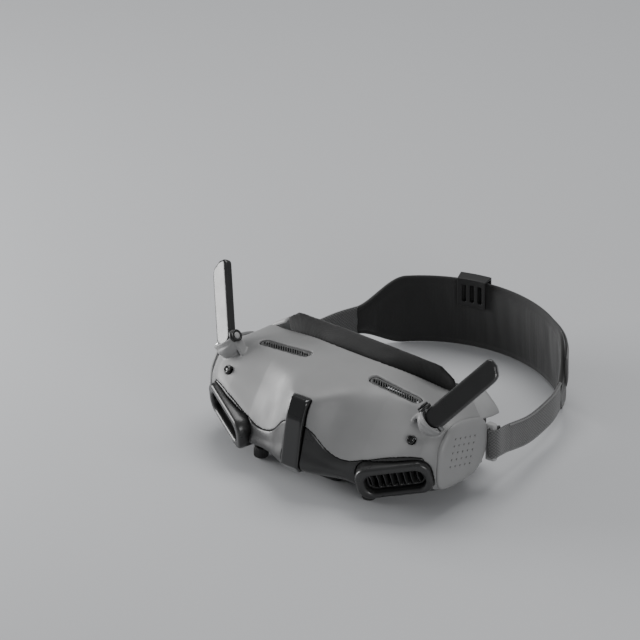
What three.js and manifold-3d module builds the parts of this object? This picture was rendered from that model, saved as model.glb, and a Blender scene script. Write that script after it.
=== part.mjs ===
// FPV goggles with folding antennas, sliding eyepieces and a head strap.
// Millimetres. X runs across the face, Y from the front vents towards the wearer, Z up from the surface.
import * as THREE from "three";
import { mergeVertices } from "three/addons/utils/BufferGeometryUtils.js";
import Module from "manifold-3d";

const wasm = await Module();
wasm.setup();

// ---------------------------------------------------------------- driving dimensions
const GAP = 0.3;               // clearance between neighbouring pieces
const WALL = 2.2;              // shell thickness
const HALF_WIDTH = 80;         // shells reach this far out, side panels stand outside them
const PANEL_THICK = 3;
const DEPTH_ORIGIN = 84.55;    // depth of the object's middle behind the front vents
const EYE_X = 32;              // half the eye distance at rest
const EYE_Z = 32;              // height of the lens centres
const EYE_TRAVEL = 4;          // each eyepiece slides this far each way
const BARREL_RADIUS = 15;
const BARREL_WALL = 2.2;
const BARREL_DEPTH = [27, 47]; // front and back end of a lens barrel
const ROD_DEPTHS = [19, 41];   // the two guide rods
const ROD_Z = 13;
const ROD_RADIUS = 1.25;
const KNOB_X = 38.5;
const KNOB_Y = 6;
const KNOB_RADIUS = 4.3;
const KNOB_SHAFT = 1.6;
const VENT_CENTRE = [58.8, 2.7, 21.8];
const VENT_SIZE = [44, 21];
const VENT_CORNER = 7.5;
const VENT_ANGLES = { turn: 28, rise: 13, nod: 10 };
const VENT_OPENING = { width: 34.5, height: 12.5, radius: 5.2, x: 0.5, z: -0.8 };
const TOP_SLOT = { x: 39, y: 29.5, length: 36, width: 7 };
const WINDOW = [65, 10, 45.5];
const WINDOW_RADIUS = 2.3;
const ANTENNA_PIVOT = [73.5, 19, 57.5];
const ANTENNA_AXIS = [0.787, 0, -0.617];
const ANTENNA_REACH = 47.5;
const ANTENNA_WIDTH = 12.6;
const ANTENNA_THICK = 5.6;
const ANTENNA_LIFT = 56;       // degrees up from lying flat towards the wearer
const PIN_RADIUS = 1.5;
const HEEL_CENTRE = 2.2;       // the blade's half-round heel is centred this far along from the pin
const STRAP_RADIUS = 80;       // rear half of the strap in plan
const STRAP_CENTRE_Y = 104;
const STRAP_THICK = 1.8;
const PAD_THICK = 4;
const PAD_ENDS = [24, 156];    // plan angles of the rear pad's ends, degrees
const PAD_HEIGHT = 44;
const STRAP_HEIGHTS = [10, 28];
const BRACKET_Y = 61;
const ADJUSTER_ANGLES = [99, 112];
const SCREWS = [{ x: 20, y: 34, z: 5 }, { x: 60, y: 42, z: 9.7 }];
const SOCKET_Z = 24;

// ---------------------------------------------------------------- materials
function paint(color, roughness, metalness = 0) {
  return new THREE.MeshStandardMaterial({ color, roughness, metalness });
}

const MATERIALS = {
  shell: paint(0x85888c, 0.5),
  dark: paint(0x2b2d30, 0.35),
  gloss: paint(0x141517, 0.15),
  light: paint(0xa3a6a9, 0.5),
  mesh: paint(0x3a3c3f, 0.7, 0.4),
  foam: paint(0x1b1c1e, 0.95),
  woven: paint(0x3b3d40, 0.95),
  metal: paint(0xa8abb0, 0.3, 1),
  glass: paint(0x223344, 0.05),
  board: paint(0x1d4a33, 0.6),
};

// ---------------------------------------------------------------- solids
function solidOf(geometry) {
  const bare = geometry.clone();
  bare.deleteAttribute("normal");
  bare.deleteAttribute("uv");
  const merged = mergeVertices(bare, 1e-4);
  const triVerts = new Uint32Array(merged.index.array);
  const vertProperties = new Float32Array(merged.attributes.position.array);
  return new wasm.Manifold(new wasm.Mesh({ numProp: 3, vertProperties, triVerts }));
}

function geometryOf(solid) {
  const mesh = solid.getMesh();
  const geometry = new THREE.BufferGeometry();
  geometry.setAttribute("position", new THREE.BufferAttribute(mesh.vertProperties, 3));
  geometry.setIndex(new THREE.BufferAttribute(mesh.triVerts, 1));
  geometry.computeVertexNormals();
  return geometry;
}

const join = (first, ...rest) => rest.reduce((solid, other) => solid.add(other), first);
const cut = (first, ...rest) => rest.reduce((solid, other) => solid.subtract(other), first);
const common = (first, ...rest) => rest.reduce((solid, other) => solid.intersect(other), first);

// A closed solid through rings of points, all rings with the same number of points.
function loft(rings) {
  const count = rings[0].length;
  const index = [];
  for (let row = 0; row < rings.length - 1; row += 1) {
    for (let i = 0; i < count; i += 1) {
      const a = row * count + i;
      const b = row * count + ((i + 1) % count);
      index.push(a, b, a + count, b, b + count, a + count);
    }
  }
  const lastRow = (rings.length - 1) * count;
  endCap(rings[0]).forEach(([a, b, c]) => index.push(a, c, b));
  endCap(rings[rings.length - 1]).forEach(([a, b, c]) => index.push(lastRow + a, lastRow + b, lastRow + c));
  const geometry = new THREE.BufferGeometry();
  geometry.setAttribute("position", new THREE.Float32BufferAttribute(rings.flat(2), 3));
  geometry.setIndex(index);
  if (signedVolume(geometry) < 0) {
    flipFaces(geometry);
  }
  return solidOf(geometry);
}

// Triangles that fill a flat ring, turning the same way as the ring itself.
function endCap(ring) {
  const normal = ringNormal(ring);
  const sizes = normal.toArray().map(Math.abs);
  const drop = sizes.indexOf(Math.max(...sizes));
  const [first, second] = [0, 1, 2].filter((axis) => axis !== drop);
  const flat = ring.map((p) => new THREE.Vector2(p[first], p[second]));
  const triangles = THREE.ShapeUtils.triangulateShape(flat, []);
  const total = new THREE.Vector3();
  triangles.forEach((corners) => {
    const [a, b, c] = corners.map((i) => new THREE.Vector3(...ring[i]));
    total.add(b.sub(a).cross(c.sub(a)));
  });
  return total.dot(normal) > 0 ? triangles : triangles.map(([a, b, c]) => [a, c, b]);
}

function ringNormal(ring) {
  const normal = new THREE.Vector3();
  ring.forEach((p, i) => {
    const q = ring[(i + 1) % ring.length];
    normal.x += (p[1] - q[1]) * (p[2] + q[2]);
    normal.y += (p[2] - q[2]) * (p[0] + q[0]);
    normal.z += (p[0] - q[0]) * (p[1] + q[1]);
  });
  return normal;
}

function signedVolume(geometry) {
  const positions = geometry.attributes.position;
  const index = geometry.index.array;
  let volume = 0;
  for (let i = 0; i < index.length; i += 3) {
    const [a, b, c] = [0, 1, 2].map((n) => new THREE.Vector3().fromBufferAttribute(positions, index[i + n]));
    volume += a.dot(b.cross(c)) / 6;
  }
  return volume;
}

function flipFaces(geometry) {
  const index = geometry.index.array;
  for (let i = 0; i < index.length; i += 3) {
    [index[i + 1], index[i + 2]] = [index[i + 2], index[i + 1]];
  }
}

function moved(solid, x, y, z) {
  return solid.translate([x, y, z]);
}

// Solids from an outline: along Y (outline in X, Z), along Z (outline in X, Y) or along X (outline in Y, Z).
function extrudeZ(shape, z0, z1, bevel = 0) {
  const depth = z1 - z0 - 2 * bevel;
  const geometry = new THREE.ExtrudeGeometry(shape, {
    depth, curveSegments: 3, bevelEnabled: bevel > 0,
    bevelThickness: bevel, bevelSize: bevel, bevelOffset: -bevel, bevelSegments: 1,
  });
  return moved(solidOf(geometry), 0, 0, z0 + bevel);
}

function extrudeY(shape, y0, y1, bevel = 0) {
  return extrudeZ(shape, -y1, -y0, bevel).rotate([90, 0, 0]);
}

function extrudeX(shape, x0, x1, bevel = 0) {
  return extrudeZ(shape, x0, x1, bevel).rotate([90, 0, 90]);
}

// An outline's points moved outwards by a distance, for a pocket that clears the piece in it.
function grown(points, distance) {
  const area = points.reduce((sum, p, i) => {
    const q = points[(i + 1) % points.length];
    return sum + p[0] * q[1] - q[0] * p[1];
  }, 0);
  const side = Math.sign(area);
  return points.map((p, i) => {
    const before = points[(i + points.length - 1) % points.length];
    const after = points[(i + 1) % points.length];
    const into = new THREE.Vector2(p[0] - before[0], p[1] - before[1]).normalize();
    const out = new THREE.Vector2(after[0] - p[0], after[1] - p[1]).normalize();
    const normal = new THREE.Vector2(into.y + out.y, -into.x - out.x).normalize();
    const reach = distance / Math.max(normal.dot(new THREE.Vector2(into.y, -into.x)), 0.3);
    return [p[0] + side * normal.x * reach, p[1] + side * normal.y * reach];
  });
}

function outline(points) {
  return new THREE.Shape(points.map(([a, b]) => new THREE.Vector2(a, b)));
}

function roundRect(width, height, radius, cx = 0, cy = 0) {
  const shape = new THREE.Shape();
  const [w, h] = [width / 2, height / 2];
  shape.absarc(cx + w - radius, cy + h - radius, radius, 0, Math.PI / 2);
  shape.absarc(cx - w + radius, cy + h - radius, radius, Math.PI / 2, Math.PI);
  shape.absarc(cx - w + radius, cy - h + radius, radius, Math.PI, 1.5 * Math.PI);
  shape.absarc(cx + w - radius, cy - h + radius, radius, 1.5 * Math.PI, 2 * Math.PI);
  return shape;
}

function block(x0, x1, y0, y1, z0, z1) {
  const geometry = new THREE.BoxGeometry(x1 - x0, y1 - y0, z1 - z0);
  return moved(solidOf(geometry), (x0 + x1) / 2, (y0 + y1) / 2, (z0 + z1) / 2);
}

function rodAlong(axis, radius, from, to, at, sides = 16) {
  const solid = solidOf(new THREE.CylinderGeometry(radius, radius, to - from, sides));
  const middle = (from + to) / 2;
  if (axis === "x") {
    return moved(solid.rotate([0, 0, 90]), middle, at[0], at[1]);
  }
  if (axis === "y") {
    return moved(solid, at[0], middle, at[1]);
  }
  return moved(solid.rotate([90, 0, 0]), at[0], at[1], middle);
}

const mirrored = (solid) => solid.mirror([1, 0, 0]);

// ---------------------------------------------------------------- the shells' outer form
// Each station is one slice across X. Its points (Y, Z) run from the rear top edge over the top,
// down the front and back along the underside.
const STATIONS = [
  { x: 0, points: [[44, 63.5], [28, 62.5], [0, 59], [-7, 55.5], [-10, 49], [-12, 42], [-15.5, 30],
    [-17, 19], [-8, 11.5], [14, 3], [44, 4]] },
  { x: 8.5, points: [[44, 63.5], [28, 62.5], [1, 58.8], [-6, 54], [-9.5, 47.5], [-11, 41.5], [-14, 30],
    [-16, 19], [-7, 11.5], [14, 3], [45, 4]] },
  { x: 20, points: [[45, 63], [29, 62], [11, 58.5], [3, 51], [-3.5, 40.5], [-8, 30], [-9.8, 24],
    [-10.5, 18], [-3, 11.5], [18, 5], [48, 5]] },
  { x: 30, points: [[48, 61], [29.5, 61], [16, 57.5], [7, 49], [-1, 38], [-6, 27], [-7, 22],
    [-7, 16.5], [0, 11.5], [20, 6.5], [51, 6.5]] },
  { x: 40, points: [[51, 58.5], [29.5, 60], [19, 57], [10, 48.5], [2, 38.5], [-3.5, 29.5], [-4.5, 22],
    [-4.5, 15], [2, 11], [20, 7.5], [54, 8]] },
  { x: 60, points: [[56, 53.5], [31, 58], [21, 55.5], [13, 49.5], [7, 42.5], [2.5, 35.5], [2, 25],
    [3, 16], [9, 10.5], [24, 9], [57, 10]] },
  { x: 72, points: [[57.5, 51.5], [33, 54], [23, 53.3], [16.5, 49], [11, 43.5], [8, 37], [8, 28],
    [9, 19], [14, 13], [26, 11], [58, 12]] },
  { x: 80, points: [[56, 43], [36, 50.5], [26, 50.5], [20.5, 47], [16.5, 42], [14, 36], [13.5, 28],
    [14, 21], [18, 15.5], [28, 13], [56, 16]] },
];
const SEAM_ROW = 5;
const SEAM_DROP = [73.5, 77.5];
const SEAM_END = 7;

// The smooth curve from b to c, with a before and d after.
function spline(a, b, c, d, t) {
  const [slope, bend, twist] = [c - a, 2 * a - 5 * b + 4 * c - d, 3 * b - a - 3 * c + d];
  return 0.5 * (2 * b + slope * t + bend * t ** 2 + twist * t ** 3);
}

// A station's point list at any x, smooth across the stations and mirrored about the middle.
function sliceAt(x) {
  const reach = Math.abs(x);
  const last = STATIONS.length - 1;
  let k = 0;
  while (k < last - 1 && STATIONS[k + 1].x <= reach) {
    k += 1;
  }
  const near = (i) => STATIONS[Math.min(Math.max(i, 0), last)].points;
  const before = k === 0 ? STATIONS[1].points : near(k - 1);
  const t = (reach - STATIONS[k].x) / (STATIONS[k + 1].x - STATIONS[k].x);
  const [after, beyond] = [near(k + 1), near(k + 2)];
  return near(k).map((p, i) => [0, 1].map((n) => spline(before[i][n], p[n], after[i][n], beyond[i][n], t)));
}

// The slice as a finer line: extra points on a smooth curve between the listed ones.
function smoothSlice(points, steps) {
  const fine = [];
  const near = (n) => points[Math.min(Math.max(n, 0), points.length - 1)];
  for (let i = 0; i < points.length - 1; i += 1) {
    const [a, b, c, d] = [i - 1, i, i + 1, i + 2].map(near);
    for (let s = 0; s < steps; s += 1) {
      fine.push([0, 1].map((n) => spline(a[n], b[n], c[n], d[n], s / steps)));
    }
  }
  fine.push(points[points.length - 1]);
  return fine;
}

// The same line moved inwards by the wall, with its two rear ends running on past the rear.
function inwardSlice(line, wall, rear) {
  const inner = line.map((p, i) => {
    const a = line[Math.max(i - 1, 0)];
    const b = line[Math.min(i + 1, line.length - 1)];
    const [dy, dz] = [b[0] - a[0], b[1] - a[1]];
    const length = Math.hypot(dy, dz);
    return [p[0] - (dz / length) * wall, p[1] + (dy / length) * wall];
  });
  const last = line.length - 1;
  inner[0] = [line[0][0] + rear, inner[0][1]];
  inner[last] = [line[last][0] + rear, inner[last][1]];
  return inner;
}

const SLICE_STEPS = 2;
const REAR_REACH = 14;         // the inner form runs on this far past the rear, so the back is open
const SHELL_X = [0, 8.5, 16, 22, 26, 32, 40, 50, 60, 68, 74, 80];

const acrossShell = () => [...SHELL_X.slice(1).reverse().map((x) => -x), ...SHELL_X];

function outerForm() {
  return loft(acrossShell().map((x) => smoothSlice(sliceAt(x), SLICE_STEPS).map(([y, z]) => [x, y, z])));
}

function innerForm() {
  const narrowing = (HALF_WIDTH - WALL) / HALF_WIDTH;
  const slice = (x) => inwardSlice(smoothSlice(sliceAt(x), 1), WALL, REAR_REACH);
  return loft(acrossShell().map((x) => slice(x).map(([y, z]) => [x * narrowing, y, z])));
}

// The seam follows a station row, and past the vents it drops below the side walls.
function seamHeight(x) {
  const drop = THREE.MathUtils.smoothstep(Math.abs(x), SEAM_DROP[0], SEAM_DROP[1]);
  return THREE.MathUtils.lerp(sliceAt(x)[SEAM_ROW][1], SEAM_END, drop);
}

// Everything above (side = 1) or below (side = -1) the seam between the two housings.
function seamRegion(side) {
  const ends = [-79, -77.5, -76.5, -75.5, -74.5, 74.5, 75.5, 76.5, 77.5, 79];
  const xs = [...acrossShell(), ...ends].sort((a, b) => a - b);
  const line = xs.map((x) => [x, seamHeight(x) + side * GAP / 2]);
  const [beyond, far] = [HALF_WIDTH + 15, side > 0 ? 100 : -20];
  const corners = [[beyond, line[line.length - 1][1]], [beyond, far], [-beyond, far], [-beyond, line[0][1]]];
  return extrudeY(outline([...line, ...corners]), -60, 120);
}

// ---------------------------------------------------------------- front vents and windows
// A solid built round the origin, facing -Y, is set into the front at the right vent's place.
function atVent(solid) {
  const { turn, rise, nod } = VENT_ANGLES;
  const tilted = solid.rotate([nod, 0, 0]).rotate([0, -rise, 0]);
  return moved(tilted.rotate([0, 0, turn]), ...VENT_CENTRE);
}

function ventOpening(inset) {
  const { width, height, radius, x, z } = VENT_OPENING;
  return roundRect(width - 2 * inset, height - 2 * inset, radius - inset, x, z);
}

function ventPocket() {
  const [width, height] = VENT_SIZE;
  return atVent(extrudeY(roundRect(width + 2 * GAP, height + 2 * GAP, VENT_CORNER + GAP), -12, 14));
}

function ventBezel() {
  const [width, height] = VENT_SIZE;
  const rim = extrudeY(roundRect(width, height, VENT_CORNER), -3.5, 5.5, 1.8);
  return atVent(cut(rim, extrudeY(ventOpening(0), -10, 20)));
}

function ventGrille() {
  const [vanes, rim] = [8, GAP + 0.1];
  const { width, height, x, z } = VENT_OPENING;
  let grille = cut(extrudeY(ventOpening(rim), 1, 4.8), extrudeY(ventOpening(rim + 1.2), -5, 20));
  for (let i = 0; i < vanes; i += 1) {
    const place = x + (width - 6.4) * (i / (vanes - 1) - 0.5);
    const half = height / 2 - (i === 0 || i === vanes - 1 ? 2.2 : 1);
    const vane = block(-0.55, 0.55, 0.4, 4.6, -half, half).rotate([0, 0, -18]);
    grille = grille.add(moved(vane, place, 0, z));
  }
  return atVent(grille);
}

function windowSolid(grow, y0, y1) {
  return moved(rodAlong("y", WINDOW_RADIUS + grow, y0, y1, [0, 0]).rotate([-40, 0, 18]), ...WINDOW);
}

function centreBar(grow) {
  const side = [
    [-4.6, 57.4], [-8.8, 57], [-11.4, 52.5], [-13.6, 46], [-15.6, 37], [-18.6, 19],
    [-15, 14.6], [-8.6, 15.4], [-10, 30], [-7, 46], [-3.4, 54],
  ];
  const half = 6 + grow;
  return extrudeX(outline(grown(side, grow)), -half, half);
}

// ---------------------------------------------------------------- top slots
function topSlot(grow, z0, z1) {
  const { x, y, length, width } = TOP_SLOT;
  return extrudeZ(roundRect(length + 2 * grow, width + 2 * grow, width / 2 + grow - 0.01, x, y), z0, z1);
}

// A slotted strip that lies a little below the top surface and leans with it.
function topMesh() {
  const { x, y, length, width } = TOP_SLOT;
  const inset = 0.5;
  const plate = roundRect(length - 2 * inset, width - 2 * inset, width / 2 - inset - 0.01);
  let strip = extrudeZ(plate, -0.6, 0.6);
  for (let i = 0; i < 9; i += 1) {
    const at = (i - 4) * 3.4;
    strip = strip.subtract(block(at - 0.7, at + 0.7, -width / 2 + 1.4, width / 2 - 1.4, -2, 2));
  }
  return moved(strip.rotate([7, 5.5, 0]), x, y, 58.4);
}

// ---------------------------------------------------------------- antennas
function hingeBasis(lift) {
  const across = new THREE.Vector3(...ANTENNA_AXIS).normalize();
  const along = new THREE.Vector3(0, 1, 0).applyAxisAngle(across, THREE.MathUtils.degToRad(lift));
  const normal = new THREE.Vector3().crossVectors(across, along);
  return new THREE.Matrix4().makeBasis(across, along, normal).setPosition(...ANTENNA_PIVOT);
}

// Solids built with the hinge line along X and the blade along Y, pivot at the origin.
const atHinge = (solid) => solid.transform(hingeBasis(0).toArray());
const atAntenna = (solid) => solid.transform(hingeBasis(ANTENNA_LIFT).toArray());
const pinBore = () => rodAlong("x", PIN_RADIUS + GAP, -20, 20, [0, 0]);

function antennaPaddle() {
  const half = ANTENNA_WIDTH / 2;
  const shape = new THREE.Shape();
  shape.absarc(0, HEEL_CENTRE, half, Math.PI, 1.5 * Math.PI);
  shape.absarc(0, HEEL_CENTRE, half, 1.5 * Math.PI, 2 * Math.PI);
  shape.lineTo(half, ANTENNA_REACH - 9);
  shape.quadraticCurveTo(half, ANTENNA_REACH - 4, half - 4, ANTENNA_REACH - 1.5);
  shape.lineTo(half - 6.5, ANTENNA_REACH);
  shape.lineTo(-half + 3, ANTENNA_REACH);
  shape.quadraticCurveTo(-half, ANTENNA_REACH, -half, ANTENNA_REACH - 3);
  const blade = extrudeZ(shape, -ANTENNA_THICK / 2, ANTENNA_THICK / 2, 1.5);
  return atAntenna(cut(blade, pinBore()));
}

// Places along the hinge line: the inner knuckle's end, the blade's two sides and the cheek's end.
const KNUCKLE = { inner: -8.8, blade: -ANTENNA_WIDTH / 2 - 0.5, outer: ANTENNA_WIDTH / 2 + 0.5, end: 8.2 };

// A solid turned about the hinge line from (radius, place along the line) points.
function turnedOnHinge(profile) {
  const points = profile.map(([radius, along]) => new THREE.Vector2(radius, along));
  return solidOf(new THREE.LatheGeometry(points, 20)).rotate([0, 0, -90]);
}

// Bowl on the shell's corner that holds the blade's round heel, with a knuckle on a post beside it.
function antennaCradle() {
  const { inner, blade, outer, end } = KNUCKLE;
  const bulge = [[5.2, -5.8], [6.5, -2.5], [6.8, 0], [6.5, 2.5], [5.2, 5.8]];
  const dip = [[4.3, -5], [5.3, -2.5], [5.6, 0], [5.3, 2.5], [4.3, 5]];
  const bowl = turnedOnHinge([[0, inner], [3.4, inner], ...bulge, [3.4, end], [0, end]]);
  const hollow = turnedOnHinge([[0, blade], [2.6, blade], ...dip, [2.6, outer], [0, outer]]);
  const below = join(block(-20, 20, -9, 0, -9, 0.5), block(-20, 20, -0.1, 9, -9, -3.4));
  const knuckle = rodAlong("x", 3.7, inner, blade, [0, 0]);
  const post = block(inner, blade, -3.4, 3.4, -13, 0);
  return atHinge(cut(join(common(cut(bowl, hollow), below), knuckle, post), pinBore()));
}

function hingePin() {
  return atHinge(rodAlong("x", PIN_RADIUS, KNUCKLE.inner + 0.1, KNUCKLE.end - 0.2, [0, 0]));
}

function hingeCap() {
  const ring = rodAlong("x", 3.5, KNUCKLE.inner - 1.4, KNUCKLE.inner - GAP, [0, 0]);
  const dish = rodAlong("x", 2.2, KNUCKLE.inner - 2, KNUCKLE.inner - 1, [0, 0]);
  return atHinge(cut(ring, dish));
}

// ---------------------------------------------------------------- strap
// A band that stands on edge along a plan line, each point with its own bottom and top.
function band(line, thickness) {
  const rings = line.map((p, i) => {
    const a = line[Math.max(i - 1, 0)];
    const b = line[Math.min(i + 1, line.length - 1)];
    const across = new THREE.Vector2(b.y - a.y, a.x - b.x).setLength(thickness / 2);
    const [inner, outer] = [[p.x - across.x, p.y - across.y], [p.x + across.x, p.y + across.y]];
    return [[...inner, p.low], [...outer, p.low], [...outer, p.high], [...inner, p.high]];
  });
  return loft(rings);
}

function onStrapArc(angle, offset, low, high) {
  const turn = THREE.MathUtils.degToRad(angle);
  const radius = STRAP_RADIUS + offset;
  return { x: radius * Math.cos(turn), y: STRAP_CENTRE_Y + radius * Math.sin(turn), low, high };
}

const ease = (value, from, to) => THREE.MathUtils.smoothstep(value, from, to);

// The wide pad stands on the surface and narrows to the strap's height at both ends.
function rearPad() {
  const line = [];
  for (let angle = PAD_ENDS[0]; angle <= PAD_ENDS[1]; angle += 6) {
    const side = Math.abs(angle - 90);
    const high = THREE.MathUtils.lerp(PAD_HEIGHT, STRAP_HEIGHTS[1], ease(side, 44, 66));
    const low = THREE.MathUtils.lerp(0, STRAP_HEIGHTS[0], ease(side, 45, 66));
    line.push(onStrapArc(angle, 0, low, high));
  }
  return band(line, PAD_THICK);
}

function sideStrap() {
  const straight = [
    { x: 84.8, y: BRACKET_Y + 2.4, low: 19, high: 37 }, { x: 84.6, y: 71, low: 17, high: 35 },
    { x: 83.8, y: 80, low: 14.5, high: 32.5 }, { x: 82.4, y: 92, low: 11.5, high: 29.5 },
    { x: 80.9, y: 102, low: 10, high: 28 },
  ];
  const curved = [7, 16, PAD_ENDS[0] - 0.5].map((angle) => onStrapArc(angle, 0, ...STRAP_HEIGHTS));
  return band([...straight, ...curved], STRAP_THICK);
}

// The strap's loose end, lying on the outside of the pad.
function strapTail() {
  const line = [];
  for (let angle = 30; angle <= 90; angle += 6) {
    line.push(onStrapArc(angle, PAD_THICK / 2 + 1, 22, 40));
  }
  return band(line, 1.4);
}

function arcSlab(from, to, offsets, z0, z1) {
  const steps = 4;
  const turns = Array.from({ length: steps + 1 }, (_, i) => from + ((to - from) * i) / steps);
  const inner = turns.map((turn) => onStrapArc(turn, offsets[0]));
  const outer = turns.reverse().map((turn) => onStrapArc(turn, offsets[1]));
  return extrudeZ(outline([...inner, ...outer].map((p) => [p.x, p.y])), z0, z1);
}

// A ribbed clip that hangs over the pad's top edge and glides along it.
function strapAdjuster() {
  const [from, to] = ADJUSTER_ANGLES;
  const clear = PAD_THICK / 2 + 0.5;
  const [innerWall, outerWall, top] = [1.6, 1.4, PAD_HEIGHT + 1.8];
  const inner = arcSlab(from, to, [-clear - innerWall, -clear], 28, top);
  const outer = arcSlab(from, to, [clear, clear + outerWall], 30, top);
  const bridge = arcSlab(from, to, [-clear - innerWall, clear + outerWall], PAD_HEIGHT + 0.5, top);
  const slotWidth = 1.8;
  const slots = [0, 1, 2].map((i) => {
    const start = from + slotWidth * (1 + 2 * i);
    return arcSlab(start, start + slotWidth, [-clear - innerWall - 1, -clear + 0.3], 31, PAD_HEIGHT - 2);
  });
  return cut(join(inner, outer, bridge), ...slots);
}

// A light loop on the panel's rear edge whose outer upright carries the strap.
function strapBracket() {
  const shape = new THREE.Shape();
  shape.moveTo(80.2, 58.1);
  shape.lineTo(83.4, 58.1);
  shape.absarc(84.4, BRACKET_Y - 0.6, 1.9, -Math.PI / 2, Math.PI / 2);
  shape.lineTo(80.2, BRACKET_Y + 1.3);
  const whole = extrudeZ(shape, 16.5, 40);
  return cut(whole, block(81.8, 83.2, 50, 70, 19, 37.5), block(70, 81.9, 59.6, 70, 19, 37.5));
}

// ---------------------------------------------------------------- face side
function rearDepth(x) {
  const slice = sliceAt(Math.min(Math.abs(x), HALF_WIDTH - 0.1));
  return (slice[0][0] + slice[slice.length - 1][0]) / 2 + 1.5;
}

// A wall that follows the rear of the body in plan; its ends curl towards the wearer.
function rearWall(from, to, curl, half) {
  const count = 18;
  const xs = Array.from({ length: count + 1 }, (_, i) => -half + (2 * half * i) / count);
  const depth = (x, distance) => rearDepth(x) + distance + curl * (x / half) ** 4;
  const front = xs.map((x) => [x, depth(x, from)]);
  const back = xs.reverse().map((x) => [x, depth(x, to)]);
  return extrudeZ(outline([...front, ...back]), -5, 90);
}

function noseNotch(width, top) {
  const shape = new THREE.Shape();
  shape.moveTo(-width * 1.25, -5);
  shape.lineTo(width * 1.25, -5);
  shape.quadraticCurveTo(width * 0.75, top * 0.6, width * 0.45, top);
  shape.lineTo(-width * 0.45, top);
  shape.quadraticCurveTo(-width * 0.75, top * 0.6, -width * 1.25, -5);
  return extrudeY(shape, 20, 110);
}

const mirrorLine = (points) => [...points, ...points.map(([a, b]) => [-a, b]).reverse()];

function faceFrame() {
  const right = [
    [16, 5.5], [40, 8.5], [64, 11.5], [73, 18], [74, 32], [72, 41], [58, 46.5], [40, 51.5], [24, 54],
  ];
  const shape = outline(mirrorLine(right));
  const sheet = common(rearWall(GAP, 3.3, 0, 76), extrudeY(shape, 20, 110));
  const eye = extrudeY(roundRect(41, 35, 17, EYE_X, EYE_Z), 20, 110);
  return cut(sheet, eye, mirrored(eye), noseNotch(12, 14));
}

function faceMask() {
  const outerRight = [[30, 0], [46, 0], [58, 3], [65, 12], [67, 30], [64, 43], [52, 50], [30, 51.5]];
  const innerRight = [[46, 11], [56, 17], [58, 30], [54, 39], [42, 44.8]];
  const [outer, inner] = [outerRight, innerRight].map((points) => outline(mirrorLine(points)));
  const solid = common(rearWall(3.6, 17, 8, 70), extrudeY(outer, 20, 110));
  return cut(solid, extrudeY(inner, 20, 110), noseNotch(15, 22));
}

// Light shield above the rear edge of the top: a lip that leans back from the shell to a thin crest.
function foreheadPad() {
  const rings = [];
  const half = 56;
  for (let x = -half; x <= half; x += 7) {
    const reach = Math.abs(x) / half;
    const [rear, top] = sliceAt(x)[0];
    const crestY = 53 + 4 * reach ** 2;
    const crestZ = 71 - 3.6 * reach ** 2 - 3 * ease(reach, 0.86, 1);
    const foot = Math.max(top - 6.5, 52.2);
    rings.push([
      [x, rear + 1.9, foot], [x, rear + 1.9, top + 0.2], [x, crestY - 0.9, crestZ], [x, crestY + 0.9, crestZ],
      [x, crestY + 1.9, crestZ - 4], [x, Math.max(rear + 5, crestY + 0.9), foot],
    ]);
  }
  return loft(rings);
}

// Fairing behind the side panel: a curved sheet that leans inwards and ends in a rounded point.
// Each row is a slice across Y: its lower edge (x, z), its bulge (x, z) and its upper edge (x, z).
const WING_ROWS = [
  { y: 59.6, low: [77.6, 41.5], mid: [73, 50.5], high: [62, 58.5] },
  { y: 66, low: [76.4, 39], mid: [72.4, 49], high: [61, 58] },
  { y: 73, low: [75, 36.5], mid: [71.8, 45.5], high: [63, 54.5] },
  { y: 78, low: [73.8, 35], mid: [72, 40], high: [67.5, 45.5] },
  { y: 80.5, low: [73.3, 34.4], mid: [73, 35.6], high: [72.2, 37.4] },
];
const WING_THICK = 2;

function sideWing() {
  const rings = WING_ROWS.map(({ y, low, mid, high }) => {
    const outside = [low, mid, high].map(([x, z]) => [x, y, z]);
    const inside = [high, mid, low].map(([x, z]) => [x - WING_THICK * 0.8, y, z - WING_THICK * 0.6]);
    return [...outside, ...inside];
  });
  return loft(rings);
}

// ---------------------------------------------------------------- side panels and sockets
const PANEL_SIDE = [[15.5, 37], [15, 22], [20.5, 16.4], [42, 15], [51, 18.5], [56, 26], [57, 36], [54.5, 43],
  [47, 47.2], [33, 50.6], [24.5, 49.6], [18.5, 44]];

function sidePanel() {
  return extrudeX(outline(PANEL_SIDE), HALF_WIDTH + GAP, HALF_WIDTH + GAP + PANEL_THICK, 1.3);
}

const SOCKETS = {
  audio: { y: 24, width: 5.6, height: 5.6, radius: 2.79 },
  power: { y: 34, width: 9.6, height: 4.2, radius: 2 },
  card: { y: 46, width: 12.6, height: 2.8, radius: 0.6 },
};
const BUTTON = { y: 34, z: 36, radius: 3, travel: 0.8 };

function socketHole({ y, width, height, radius }, grow) {
  const shape = roundRect(width + 2 * grow, height + 2 * grow, radius + grow, y, SOCKET_Z);
  return extrudeX(shape, -90, -70);
}

function socket(size, wall, depth) {
  const outer = roundRect(size.width, size.height, size.radius, size.y, SOCKET_Z);
  const radius = Math.max(size.radius - wall, 0.2);
  const mouth = roundRect(size.width - 2 * wall, size.height - 2 * wall, radius, size.y, SOCKET_Z);
  const face = -HALF_WIDTH - PANEL_THICK + 0.2;
  return cut(extrudeX(outer, face, face + depth), extrudeX(mouth, face - 1, face + depth - 1.5));
}

function powerInlet() {
  const { y } = SOCKETS.power;
  const tongue = block(-81.5, -75, y - 2.6, y + 2.6, SOCKET_Z - 0.35, SOCKET_Z + 0.35);
  return join(socket(SOCKETS.power, 0.6, 8), tongue);
}

function linkButton() {
  const { y, z, radius, travel } = BUTTON;
  const face = -HALF_WIDTH - PANEL_THICK - GAP - 0.4;
  const cap = rodAlong("x", radius, face, face + 3.6, [y, z]);
  const stem = rodAlong("x", 1.2, face + 3, -75.2 - travel, [y, z], 14);
  return join(cap, stem);
}

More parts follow.
